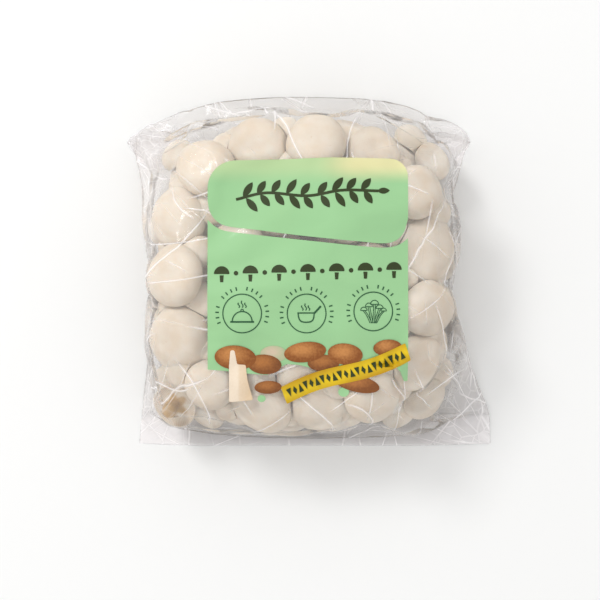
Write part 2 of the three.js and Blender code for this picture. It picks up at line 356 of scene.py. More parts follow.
@dataclass(frozen=True)
class FootMycelium:
    """The trimmed foot: matt, fibrous mycelium, cream at the sides and tan where it was cut."""

    cream: str = "#e6d8ba"
    tan: str = "#bd9c69"
    grain_mm: float = 1.6

    def build(self) -> bpy.types.Material:
        """Makes the material."""
        material, tree = new_material("mycelium_foot")
        add = partial(add_node, tree)
        fibres = {"Scale": per_mm(self.grain_mm), "Detail": 6.0, "Roughness": 0.7}
        grain = add("TexNoise", {"Vector": add("TexCoord", out="Object"), **fibres})
        tone = add("MapRange", {"Value": grain, "From Min": 0.4, "From Max": 0.66})
        colour = add("Mix", {0: tone, 6: srgb(self.cream), 7: srgb(self.tan)}, 2, data_type="RGBA")
        bump = add("Bump", {"Height": grain, "Strength": 0.8, "Distance": 0.5 * MM})
        rough = {"Base Color": colour, "Normal": bump, "Roughness": 0.9}
        add("OutputMaterial", {"Surface": add("BsdfPrincipled", rough)})
        return material


@dataclass(frozen=True)
class ClearFilm:
    """Clear cast polypropylene film, 0.04 mm thick.

    It passes nearly all light and mirrors its surroundings at every crease. A white diffuse veil
    is partly the film's own milkiness and partly painted reflection of its fine crinkles, heavier
    on the crimped seals and crumpled corners; thin white lines along the sharp creases are painted
    highlights.
    """

    # Colour and weights of the white diffuse veil: partly the film's own milkiness, partly painted
    # reflection; the crease weight paints white highlight lines.
    milk_and_reflection_veil: str = "#fcf9f9"
    milk_and_reflection_weight: float = 0.12
    seal_milk_and_reflection: float = 0.26
    crumple_milk_and_reflection: float = 0.3
    painted_crease_highlight: float = 0.55
    crumple_share: float = 0.4
    crimp_mm: float = 1.5
    crumple_mm: float = 7.0
    crinkle_mm: float = 2.6
    line_width: float = 0.03
    fan_count: float = 5.5
    corners_mm: tuple[tuple[float, float, float], ...] = (
        (-79.0, 60.0, 62.0),
        (72.0, 58.0, 50.0),
        (-77.0, -76.0, 60.0),
        (82.0, -76.0, 68.0),
    )
    streak_gap_mm: float = 17.0
    sway_mm: float = 70.0
    sway: float = 3.0
    patch_mm: float = 30.0
    streak_turns: tuple[float, ...] = (118.0, 82.0, 35.0, 160.0)
    roughness: float = 0.1
    ior: float = 1.36

    def lines(
        self,
        tree: bpy.types.NodeTree,
        place: bpy.types.NodeSocket,
        count: bpy.types.NodeSocket,
        seed: float,
    ) -> bpy.types.NodeSocket:
        """Thin, broken, unevenly spaced lines.

        Args:
            tree: the node tree.
            place: the coordinates.
            count: what the lines are counted along; one lies at every whole number and a half.
            seed: what sets these lines apart from others.

        Returns:
            1 on a line and 0 off it.
        """
        add = partial(add_node, tree)
        moved = add("VectorMath", {0: place, 1: (seed, seed * 1.7, seed * 0.6)}, operation="ADD")
        sway = add("TexNoise", {"Vector": moved, "Scale": per_mm(self.sway_mm), "Detail": 0.0})
        gaps = add("TexNoise", {"Vector": moved, "Scale": per_mm(self.patch_mm), "Detail": 1.0})
        swayed = add("Math", {0: sway, 1: self.sway, 2: count}, operation="MULTIPLY_ADD")
        share = add("Math", {0: swayed}, operation="FRACT")
        off = add("Math", {0: share, 1: 0.5}, operation="SUBTRACT")
        off = add("Math", {0: off}, operation="ABSOLUTE")
        drawn = {"From Max": self.line_width, "To Min": 1.0, "To Max": 0.0}
        line = add("MapRange", {"Value": off, **drawn})
        kept = add("MapRange", {"Value": gaps, "From Min": 0.5, "From Max": 0.6})
        return add("Math", {0: line, 1: kept}, operation="MULTIPLY")

    def fan(
        self, tree: bpy.types.NodeTree, place: bpy.types.NodeSocket, corner: tuple[float, ...]
    ) -> bpy.types.NodeSocket:
        """Creases that run out from one corner of the pouch.

        Args:
            tree: the node tree.
            place: the coordinates.
            corner: the corner's x and y, and how far the creases reach, in millimetres.

        Returns:
            1 on a crease and 0 off it.
        """
        add = partial(add_node, tree)
        x, y, reach = corner
        offset = add("VectorMath", {0: place, 1: (x * MM, y * MM, 0.0)}, operation="SUBTRACT")
        parts = add("SeparateXYZ", {0: offset}).node.outputs
        angle = add("Math", {0: parts["Y"], 1: parts["X"]}, operation="ARCTAN2")
        squares = [add("Math", {0: parts[k], 1: 2.0}, operation="POWER") for k in ("X", "Y")]
        square = add("Math", {0: squares[0], 1: squares[1]}, operation="ADD")
        away = add("Math", {0: square}, operation="SQRT")
        count = add("Math", {0: angle, 1: self.fan_count}, operation="MULTIPLY")
        fades = {"From Min": reach * 0.6 * MM, "From Max": reach * MM, "To Min": 1.0, "To Max": 0.0}
        near = add("MapRange", {"Value": away, **fades})
        line = self.lines(tree, place, count, x)
        return add("Math", {0: line, 1: near}, operation="MULTIPLY")

    def streaks(
        self, tree: bpy.types.NodeTree, place: bpy.types.NodeSocket, turn: float, seed: float
    ) -> bpy.types.NodeSocket:
        """Long, nearly straight creases that run one way.

        Args:
            tree: the node tree.
            place: the coordinates.
            turn: which way they run, in degrees from X.
            seed: what sets these creases apart from others.

        Returns:
            1 on a crease and 0 off it.
        """
        angle, gap = math.radians(turn), self.streak_gap_mm * MM
        across = (-math.sin(angle) / gap, math.cos(angle) / gap, 0.3 / gap)
        dot = {0: place, 1: across}
        count = add_node(tree, "VectorMath", dot, "Value", operation="DOT_PRODUCT")
        return self.lines(tree, place, count, seed)

    def build(self) -> bpy.types.Material:
        """Makes the material."""
        material, tree = new_material("clear_polypropylene_film")
        add = partial(add_node, tree)
        place = add("TexCoord", out="Object")
        seal = add("Attribute", out="Fac", attribute_name="seal")
        crumple = add("Attribute", out="Fac", attribute_name="crumple")
        net = {"Vector": place, "Scale": per_mm(self.crumple_mm)}
        edge = add("TexVoronoi", net, "Distance", feature="DISTANCE_TO_EDGE")
        net = add("MapRange", {"Value": edge, "From Max": 0.05, "To Min": 1.0, "To Max": 0.0})
        net = add("Math", {0: net, 1: crumple}, operation="MULTIPLY")
        creases = add("Math", {0: net, 1: self.crumple_share}, operation="MULTIPLY")
        extra = [self.fan(tree, place, corner) for corner in self.corners_mm]
        for number, turn in enumerate(self.streak_turns):
            extra.append(self.streaks(tree, place, turn, float(number)))
        for crease in extra:
            creases = add("Math", {0: creases, 1: crease}, operation="MAXIMUM")
        fine = {"Scale": per_mm(self.crinkle_mm), "Detail": 3.0, "Distortion": 0.6}
        crinkles = add("TexNoise", {"Vector": place, **fine})
        across = add("SeparateXYZ", {0: place}, "X")
        turns = 2 * math.pi / (self.crimp_mm * MM)
        phase = add("Math", {0: across, 1: turns}, operation="MULTIPLY")
        crimps = add("Math", {0: phase}, operation="SINE")
        crimps = add("Math", {0: crimps, 1: seal}, operation="MULTIPLY")
        height = add("Math", {0: creases, 1: 0.5, 2: crinkles}, operation="MULTIPLY_ADD")
        height = add("Math", {0: height, 1: crimps}, operation="ADD")
        bump = add("Bump", {"Height": height, "Strength": 0.35, "Distance": 0.45 * MM})
        white = (1.0, 1.0, 1.0, 1.0)
        clear = add("BsdfTransparent", {"Color": white})
        gloss = add("BsdfGlossy", {"Normal": bump, "Color": white, "Roughness": self.roughness})
        mirror = add("Fresnel", {"Normal": bump, "IOR": self.ior})
        film = add("MixShader", {0: mirror, 1: clear, 2: gloss})
        # The white diffuse veil: partly the film's milkiness and partly painted reflection of the
        # bright surroundings, heavier on seals and crumpled corners; along the creases it is
        # painted highlight.
        milk_and_reflection_veil = self.milk_and_reflection_weight
        for where, milk_and_reflection_weight in (
            (seal, self.seal_milk_and_reflection),
            (crumple, self.crumple_milk_and_reflection),
            (creases, self.painted_crease_highlight),
        ):
            milk_and_reflection_veil = add("Math", {0: where, 1: milk_and_reflection_weight, 2: milk_and_reflection_veil}, operation="MULTIPLY_ADD")
        veil = add("BsdfDiffuse", {"Color": srgb(self.milk_and_reflection_veil)})
        add("OutputMaterial", {"Surface": add("MixShader", {0: milk_and_reflection_veil, 1: film, 2: veil})})
        return material


@dataclass(frozen=True)
class Ink:
    """Gravure ink under glossy film: it runs from one shade to another, with a fine grain."""

    name: str
    light: str
    deep: str
    grain: float = 0.0
    grain_mm: float = 0.9
    crinkle_mm: float = 1 / 0.17

    def build(self) -> bpy.types.Material:
        """Makes the material."""
        material, tree = new_material(self.name)
        add = partial(add_node, tree)
        place = add("TexCoord", out="Object")
        tone = add("Attribute", out="Fac", attribute_name="tone")
        speck = add("TexNoise", {"Vector": place, "Scale": per_mm(self.grain_mm), "Detail": 3.0})
        spread = {"From Min": 0.3, "From Max": 0.7, "To Min": -self.grain, "To Max": self.grain}
        grain = add("MapRange", {"Value": speck, **spread})
        mixed = add("Math", {0: tone, 1: grain}, operation="ADD")
        shades = {0: mixed, 6: srgb(self.light), 7: srgb(self.deep)}
        colour = add("Mix", shades, 2, data_type="RGBA")
        waves = {"Scale": per_mm(self.crinkle_mm), "Detail": 2.0, "Distortion": 0.5}
        crinkle = add("TexNoise", {"Vector": place, **waves})
        bump = add("Bump", {"Height": crinkle, "Strength": 0.3, "Distance": 0.3 * MM})
        coat = {"Coat Weight": 0.3, "Coat Roughness": 0.1, "Coat IOR": 1.4, "Coat Normal": bump}
        ink = add("BsdfPrincipled", {"Base Color": colour, "Roughness": 0.5, "IOR": 1.33, **coat})
        add("OutputMaterial", {"Surface": ink})
        return material


# ---------------------------------------------------------------------------------------------
# Mushrooms
# ---------------------------------------------------------------------------------------------


@dataclass
class Stand:
    """Where one mushroom stands, read from its CAD solid."""

    node: str
    foot: np.ndarray
    neck: np.ndarray
    axis: np.ndarray
    radius: float
    stem: float = 1.0

    @classmethod
    def of(cls, node: str) -> "Stand":
        """Reads a mushroom's foot, neck, cap axis and cap radius from its faceted solid.

        Args:
            node: the CAD node's name.

        Returns:
            The mushroom's stand.
        """
        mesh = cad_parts[node].data
        loose = coordinates(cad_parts[node])
        keys = np.round(loose / 2e-6).astype(np.int64)
        _, first, merged = np.unique(keys, axis=0, return_index=True, return_inverse=True)
        merged = merged.ravel()
        points = loose[first]
        triangles = np.array([[merged[v] for v in p.vertices] for p in mesh.polygons])
        valence = np.bincount(triangles.ravel(), minlength=len(points))
        hubs = np.argsort(-valence, kind="stable")[:2]
        low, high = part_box("cluster_foot")
        bed = np.array([(low.x + high.x) / 2, (low.y + high.y) / 2])
        sole, apex = sorted(
            hubs, key=lambda k: np.linalg.norm(points[k, :2] - bed) + points[k, 2] / 2
        )
        foot = points[sole]
        ring = np.unique(triangles[(triangles == apex).any(1)])
        ring = points[ring[ring != apex]]
        centre = ring.mean(0)
        axis = np.linalg.svd(ring - centre)[2][2]
        if axis @ (points[apex] - centre) < 0:
            axis = -axis
        away = points - points[apex]
        across = away - np.outer(away @ axis, axis)
        near = (away @ axis) > -0.011
        radius = float(np.linalg.norm(across[near], axis=1).max())
        axis = unit(np.round(axis, 9))
        neck = np.round(points[apex] - axis * radius * Cap.top, 9)
        return cls(node, foot, neck, axis, round(radius, 9))


@dataclass(frozen=True)
class Cap:
    """The proportions of a cap, as shares of its radius, measured from the top of the stem."""

    top: float = 0.648
    margin: float = 0.06
    belly: float = 0.16
    dome: float = 0.62


@dataclass
class MushroomMaker:
    """Models one mushroom and copies it, bent and varied, onto every stand."""

    cap_radius_mm: float = 12.0
    stem_radius_mm: float = 3.3
    stem_length_mm: float = 30.0
    sides: int = 26
    sink_mm: float = 1.4
    growth: float = 1.05
    uneven: float = 0.09
    lobes: float = 0.04
    lumps_mm: float = 0.3
    buttons: int = 15
    broken_mm: tuple[tuple[float, float, float], ...] = ((-55.6, -55.2, 27.5), (-53.4, -53.2, 20.5))
    spots_mm: tuple[tuple[float, float, float, float, float], ...] = (
        (-56.0, -42.0, 12.0, 6.0, 0.9),
        (-40.0, -56.0, 14.0, 7.0, 0.9),
        (47.0, -50.0, 17.0, 9.0, 0.9),
        (53.0, -40.0, 14.0, 7.0, 0.9),
        (37.0, -56.0, 13.0, 7.0, 0.9),
        (50.0, 45.0, 17.0, 8.0, 0.9),
        (42.0, 54.0, 14.0, 7.0, 0.9),
        (-52.0, 48.0, 14.0, 7.0, 0.9),
        (-4.0, -40.5, 42.0, 8.6, 0.2),
        (12.0, -41.5, 40.0, 8.0, 0.2),
        (27.0, -38.5, 40.0, 7.6, 0.2),
        (-18.0, -41.0, 40.5, 7.4, 0.2),
    )
    cap: Cap = field(default_factory=Cap)

    def template(self) -> bpy.types.Object:
        """Models a straight mushroom: a disc drawn up into a stem and spread into a cap.

        Returns:
            The straight mushroom, its foot at the origin and its cap upwards.
        """
        r, length = self.cap_radius_mm, self.stem_length_mm
        stem = self.stem_radius_mm
        deselect_all()
        bpy.ops.mesh.primitive_circle_add(
            vertices=self.sides, radius=stem * 1.22 * MM, fill_type="NGON"
        )
        obj = bpy.context.object
        bpy.ops.object.mode_set(mode="EDIT")
        steps = [
            (length * 0.12, stem * 1.3),
            (length * 0.3, stem * 1.18),
            (length * 0.5, stem * 1.0),
            (length * 0.7, stem * 0.92),
            (length * 0.86, stem * 0.92),
            (length * 0.96, stem * 1.0),
            (length + r * 0.05, stem * 1.25),
            (length + r * 0.09, r * 0.5),
            (length + r * 0.07, r * 0.72),
            (length + r * 0.0, r * 0.88),
            (length - r * self.cap.margin, r * 0.945),
            (length - r * 0.02, r * 0.985),
            (length + r * self.cap.belly, r * 1.0),
            (length + r * 0.3, r * 0.955),
            (length + r * 0.43, r * 0.86),
            (length + r * 0.54, r * 0.7),
            (length + r * 0.61, r * 0.5),
            (length + r * 0.645, r * 0.28),
            (length + r * self.cap.top, r * 0.1),
        ]
        height, radius = 0.0, stem * 1.22
        for next_height, next_radius in steps:
            rise = (0, 0, (next_height - height) * MM)
            bpy.ops.mesh.extrude_region_move(TRANSFORM_OT_translate={"value": rise})
            share = next_radius / radius
            centre = (0, 0, next_height * MM)
            bpy.ops.transform.resize(value=(share, share, 1), center_override=centre)
            height, radius = next_height, next_radius
        bpy.ops.mesh.merge(type="CENTER")
        close_up(obj)
        obj = in_order(obj)
        apply_modifier(obj, "SUBSURF", levels=1, render_levels=1)
        self.mark_profile(obj)
        shade_smooth(obj)
        return obj

    def mark_profile(self, obj: bpy.types.Object) -> None:
        """Stores where each point lies round and along the mushroom, for the gills."""
        places = coordinates(obj) / MM
        height = places[:, 2] - self.stem_length_mm
        radial = np.linalg.norm(places[:, :2], axis=1)
        r = self.cap_radius_mm
        under = (height < r * 0.1) & (height > -r * 0.07) & (radial < r * 0.93)
        under &= radial > self.stem_radius_mm * 1.2
        directions = unit(places[:, :2])
        values = np.column_stack([directions, under.astype(float)])
        attribute = obj.data.attributes.new("profile", "FLOAT_VECTOR", "POINT")
        attribute.data.foreach_set("vector", values.astype(np.float32).ravel())

    def vary(self, places: np.ndarray, number: int) -> np.ndarray:
        """Makes one cap its own: lobed, dented at the crown and slightly lumpy.

        Args:
            places: the straight mushroom's points, in millimetres.
            number: the mushroom's number, which settles its shape.

        Returns:
            The varied points, in millimetres.
        """
        rng = np.random.default_rng(1000 + number)
        r = self.cap_radius_mm
        out = places.copy()
        height = places[:, 2] - self.stem_length_mm
        radial = np.linalg.norm(places[:, :2], axis=1)
        angle = np.arctan2(places[:, 1], places[:, 0])
        in_cap = smoothstep(-0.12 * r, 0.0, height) * smoothstep(0.3 * r, 0.6 * r, radial)
        swell = np.zeros(len(places))
        for order in (2, 3, 5):
            phase = rng.uniform(0, 2 * math.pi)
            size = rng.uniform(0.3, 1.0) * self.lobes / order * 2
            swell += size * np.cos(order * angle + phase)
        out[:, :2] *= (1 + swell * in_cap)[:, None]
        crown = np.clip(1 - (radial / (0.62 * r)) ** 2, 0, 1) ** 2 * (height > 0.4 * r)
        out[:, 2] -= crown * r * rng.uniform(-0.03, 0.1)
        tall = rng.uniform(0.88, 1.16)
        above = height > 0
        out[above, 2] = self.stem_length_mm + (out[above, 2] - self.stem_length_mm) * tall
        shift = Vector(rng.uniform(-50, 50, 3))
        lumps = np.array([noise.noise(Vector(p) * 0.1 + shift) for p in places])
        fine = np.array([noise.noise(Vector(p) * 0.32 + shift) for p in places])
        away = unit(out - np.array([0, 0, self.stem_length_mm]))
        out += away * ((lumps * 2.4 + fine * 0.5) * self.lumps_mm)[:, None]
        return out

    def bend(self, places: np.ndarray, stand: Stand, number: int) -> np.ndarray:
        """Bends a straight mushroom along its own spine, from the foot to the cap.

        Args:
            places: the varied straight points, in millimetres.
            stand: where this mushroom stands.
            number: the mushroom's number, which settles its turn and bow.

        Returns:
            The points in the row frame, in metres.
        """
        rng = np.random.default_rng(2000 + number)
        up = np.array([0.0, 0.0, 1.0])
        foot = stand.foot - up * self.sink_mm * MM
        reach = float(np.linalg.norm(stand.neck - foot))
        bow = rng.uniform(-1, 1, 3) * 1.3 * MM
        guide_low = foot + up * reach * 0.45 + bow
        guide_high = stand.neck - stand.axis * reach * 0.4 - bow
        share = np.clip(places[:, 2] / self.stem_length_mm, 0, 1)[:, None]
        rest = 1 - share
        spine = (
            rest**3 * foot
            + 3 * rest**2 * share * guide_low
            + 3 * rest * share**2 * guide_high
            + share**3 * stand.neck
        )
        tangent = unit(
            rest**2 * (guide_low - foot)
            + 2 * rest * share * (guide_high - guide_low)
            + share**2 * (stand.neck - guide_high)
        )
        side = np.cross(up, stand.axis)
        side = unit(side) if np.linalg.norm(side) > 1e-6 else np.array([0.0, 1.0, 0.0])
        size = self.spread(stand) / self.cap_radius_mm
        cap = share[:, 0] >= 1
        centre = np.where(
            cap[:, None],
            stand.neck + np.outer((places[:, 2] - self.stem_length_mm) * size, stand.axis),
            spine,
        )
        low_cap = (~cap) & (np.linalg.norm(places[:, :2], axis=1) > self.stem_radius_mm * 1.5)
        centre[low_cap] = stand.neck + np.outer(
            (places[low_cap, 2] - self.stem_length_mm) * size, stand.axis
        )
        rigid = cap | low_cap
        axis = np.where(rigid[:, None], stand.axis, tangent)
        across = unit(np.cross(side, axis))
        stem_size = MM * rng.uniform(0.92, 1.1) * stand.stem
        blend = smoothstep(0.93, 1.0, share[:, 0])
        scale = np.where(rigid, size, stem_size * (1 - blend) + size * blend)
        turn = rng.uniform(0, 2 * math.pi)
        x = places[:, 0] * math.cos(turn) - places[:, 1] * math.sin(turn)
        y = places[:, 0] * math.sin(turn) + places[:, 1] * math.cos(turn)
        return centre + across * (x * scale)[:, None] + side * (y * scale)[:, None]

    def spread(self, stand: Stand) -> float:
        """The radius that a cap grows to."""
        return stand.radius * self.growth

    def press_apart(self, bodies: list[np.ndarray], stands: list[Stand]) -> None:
        """Flattens neighbouring caps against each other where they would run into one another.

        Args:
            bodies: the points of each mushroom, which are moved in place.
            stands: where each mushroom stands.
        """
        for _ in range(3):
            for i, points in enumerate(bodies):
                for j, other in enumerate(stands):
                    near = np.linalg.norm(stands[i].neck - other.neck)
                    if i == j or near > stands[i].radius + other.radius + 0.012:
                        continue
                    self.push_out(points, stands[i], other)

    def relax(self, points: np.ndarray, edges: np.ndarray) -> np.ndarray:
        """Evens out a mushroom's surface, so that pressed faces blend into round ones.

        Args:
            points: the mushroom's points.
            edges: pairs of neighbouring points.

        Returns:
            The evened points.
        """
        count = np.bincount(edges.ravel(), minlength=len(points))[:, None]
        for _ in range(3):
            total = np.zeros_like(points)
            np.add.at(total, edges[:, 0], points[edges[:, 1]])
            np.add.at(total, edges[:, 1], points[edges[:, 0]])
            points = points * 0.5 + total / count * 0.5
        return points

    def push_out(self, points: np.ndarray, own: Stand, other: Stand) -> None:
        """Moves one mushroom's points out of another's cap, half way for cap against cap."""
        r = self.spread(other)
        away = points - other.neck
        height = away @ other.axis
        radial = away - np.outer(height, other.axis)
        out = np.linalg.norm(radial, axis=1)
        lifted = np.clip(height - 0.1 * r, 0, None) / (self.cap.dome * r)
        inside = np.sqrt((out / r) ** 2 + lifted**2)
        deep = (inside < 1.02) & (height > -0.05 * r)
        if not deep.any():
            return
        gradient = radial[deep] / r**2 + np.outer(
            lifted[deep] / (self.cap.dome * r), other.axis
        )
        own_height = (points[deep] - own.neck) @ own.axis
        share = np.where(own_height > -0.15 * own.radius, 0.42, 0.8)
        depth = (1.02 - inside[deep]) * r * share
        points[deep] += unit(gradient) * depth[:, None]

    def small_stands(self, stands: list[Stand]) -> list[Stand]:
        """Finds room between the outer caps for late, small mushrooms.

        Args:
            stands: where the large mushrooms stand.

        Returns:
            The small mushrooms' stands.
        """
        rng = np.random.default_rng(7)
        ring = [s for s in stands if "outer" in s.node]
        middle = np.mean([s.neck for s in ring], axis=0)
        spots = []
        for number in range(2 * self.buttons):
            a, b = ring[number // 2], ring[(number // 2 + 1) % len(ring)]
            outwards = unit(((a.neck + b.neck) / 2 - middle) * [1, 1, 0])
            outer = number % 2 == 1
            reach = rng.uniform(3, 8) if outer else rng.uniform(-11, -6)
            rise = rng.uniform(-7, -3) if outer else rng.uniform(1, 4)
            neck = (a.neck + b.neck) / 2 + outwards * reach * MM + np.array([0, 0, rise * MM])
            lean = 0.55 if outer else 0.1
            spots.append((neck, outwards * lean, (a.foot + b.foot) / 2, rng.uniform(4.4, 7.4)))
        rim = np.array([s.foot for s in stands if "skirt" in s.node])
        for x, y, z, size, lean in self.spots_mm:
            neck = np.array([x, y, z]) * MM
            outwards = unit((neck - middle) * [1, 1, 0])
            foot = rim[np.argmin(np.linalg.norm(rim - neck, axis=1))]
            spots.append((neck, outwards * lean, foot, size))
        out = []
        for number, (neck, lean, foot, size) in enumerate(spots):
            axis = unit(lean + np.array([0, 0, 1.0]))
            out.append(Stand(f"small_{number + 1:02d}", foot, neck, axis, size * MM, 0.62))
        broken = [np.array(p) * MM for p in self.broken_mm]
        out.append(Stand("broken_off", *broken, unit(broken[1] - broken[0]), 9.0 * MM, 0.8))
        return out

    def build(self, nodes: Sequence[str], material: bpy.types.Material) -> list[bpy.types.Object]:
        """Makes every mushroom: the large ones stand for CAD solids, the small ones fill gaps.

        Args:
            nodes: the mushrooms' CAD nodes.
            material: the mushroom's skin.

        Returns:
            The finished mushrooms.
        """
        template = self.template()
        straight = coordinates(template) / MM
        stands = [Stand.of(node) for node in nodes]
        rng = np.random.default_rng(11)
        for stand in stands:
            stand.radius *= 1 + self.uneven * rng.uniform(-1.2, 0.8)
        stands += self.small_stands(stands)
        bodies = [
            self.bend(self.vary(straight, number), stand, number)
            for number, stand in enumerate(stands)
        ]
        self.press_apart(bodies, stands)
        edges = np.array(sorted(tuple(sorted(e.vertices)) for e in template.data.edges))
        pieces = []
        radial = np.linalg.norm(straight[:, :2], axis=1)
        star = radial + 1.3 * np.cos(5 * np.arctan2(straight[:, 1], straight[:, 0]))
        torn = (straight[:, 2] < self.stem_length_mm + 1.5) * (1 - smoothstep(4.6, 6.4, star))
        for stand, points in zip(stands, bodies, strict=True):
            points = self.relax(points, edges)
            piece = template.copy()
            piece.data = template.data.copy()
            piece.name = "beech_" + stand.node
            piece.data.name = piece.name
            bpy.context.scene.collection.objects.link(piece)
            set_coordinates(piece, points)
            if stand.node == "broken_off":
                store(piece, "torn", torn)
            node = stand.node if stand.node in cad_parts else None
            finish(piece, material, "mushroom_flesh", node)
            pieces.append(piece)
        bpy.data.objects.remove(template)
        log.info("mushrooms: %d", len(pieces))
        return pieces


@dataclass
class ClusterFoot:
    """The trimmed block of mycelium and fused stem bases under the cluster."""

    node: str = "cluster_foot"
    bumps: int = 17
    bump_mm: float = 1.5
    ragged_mm: float = 0.7

    def build(self, material: bpy.types.Material) -> bpy.types.Object:
        """Makes the foot from a drum that is ribbed by the stems' bases.

        Args:
            material: the mycelium's finish.

        Returns:
            The finished foot.
        """
        low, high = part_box(self.node)
        middle = (low + high) / 2
        radius = (high.x - low.x) / 2 - 0.6 * MM
        deselect_all()
        bpy.ops.mesh.primitive_cylinder_add(
            vertices=102,
            radius=radius,
            depth=high.z - low.z - 0.9 * MM,
            location=(middle.x, middle.y, middle.z),
        )
        obj = bpy.context.object
        obj.name = "cluster_foot_block"
        bpy.ops.object.transform_apply(location=True, rotation=False, scale=False)
        bpy.ops.object.mode_set(mode="EDIT")
        bpy.ops.mesh.select_mode(type="FACE")
        bpy.ops.mesh.select_all(action="DESELECT")
        bpy.ops.object.mode_set(mode="OBJECT")
        for face in obj.data.polygons:
            face.select = abs(face.normal.z) > 0.9
        bpy.ops.object.mode_set(mode="EDIT")
        for inset in (3.0, 6.0, 8.0, 7.0):
            bpy.ops.mesh.inset(thickness=inset * MM)
        close_up(obj)
        apply_modifier(obj, "BEVEL", width=2.2 * MM, segments=3, limit_method="ANGLE")
        apply_modifier(obj, "SUBSURF", levels=1, render_levels=1, subdivision_type="SIMPLE")
        places = coordinates(obj)
        offset = places - np.array([middle.x, middle.y, 0])
        angle = np.arctan2(offset[:, 1], offset[:, 0])
        side = smoothstep(0.86, 0.97, np.linalg.norm(offset[:, :2], axis=1) / radius)
        rib = np.cos(angle * self.bumps) * 0.5 - 0.5
        rough = np.array([noise.fractal(Vector(p) * 180, 0.8, 2.1, 4) for p in places])
        shift = side * rib * self.bump_mm * MM + rough * self.ragged_mm * MM * side
        out = unit(offset[:, :2])
        places[:, :2] += out * shift[:, None]
        taper = 1 - 0.07 * smoothstep(high.z, low.z, places[:, 2])
        places[:, :2] = places[:, :2] * taper[:, None] + np.array([middle.x, middle.y]) * (
            1 - taper[:, None]
        )
        inner = places[:, 2] > middle.z
        places[inner, 2] += np.abs(rough[inner]) * 0.3 * MM
        set_coordinates(obj, places)
        shade_smooth(obj)
        finish(obj, material, "foot_mycelium", self.node)
        log.info("foot: %d faces", len(obj.data.polygons))
        return obj


# ---------------------------------------------------------------------------------------------
# Film pouch
# ---------------------------------------------------------------------------------------------


def smooth_path(points: np.ndarray, counts: int, key: Sequence[int]) -> np.ndarray:
    """Runs a smooth curve through rows of numbers and samples it evenly.

    Args:
        points: the rows that the curve passes through, with any number of columns.
        counts: how many rows to return.
        key: the columns whose distances set the spacing.

    Returns:
        The sampled rows.
    """
    ends = np.vstack([2 * points[0] - points[1], points, 2 * points[-1] - points[-2]])
    fine = []
    for i in range(1, len(ends) - 2):
        a, b, c, d = ends[i - 1 : i + 3]
        t = np.linspace(0, 1, 24, endpoint=False)[:, None]
        tangent_b, tangent_c = (c - a) * 0.5, (d - b) * 0.5
        fine.append(
            (2 * t**3 - 3 * t**2 + 1) * b
            + (t**3 - 2 * t**2 + t) * tangent_b
            + (3 * t**2 - 2 * t**3) * c
            + (t**3 - t**2) * tangent_c
        )
    dense = np.vstack([*fine, points[-1:]])
    steps = np.linalg.norm(np.diff(dense[:, list(key)], axis=0), axis=1)
    along = np.concatenate([[0], np.cumsum(steps)])
    wanted = np.linspace(0, along[-1], counts)
    columns = [np.interp(wanted, along, dense[:, k]) for k in range(dense.shape[1])]
    return np.column_stack(columns)


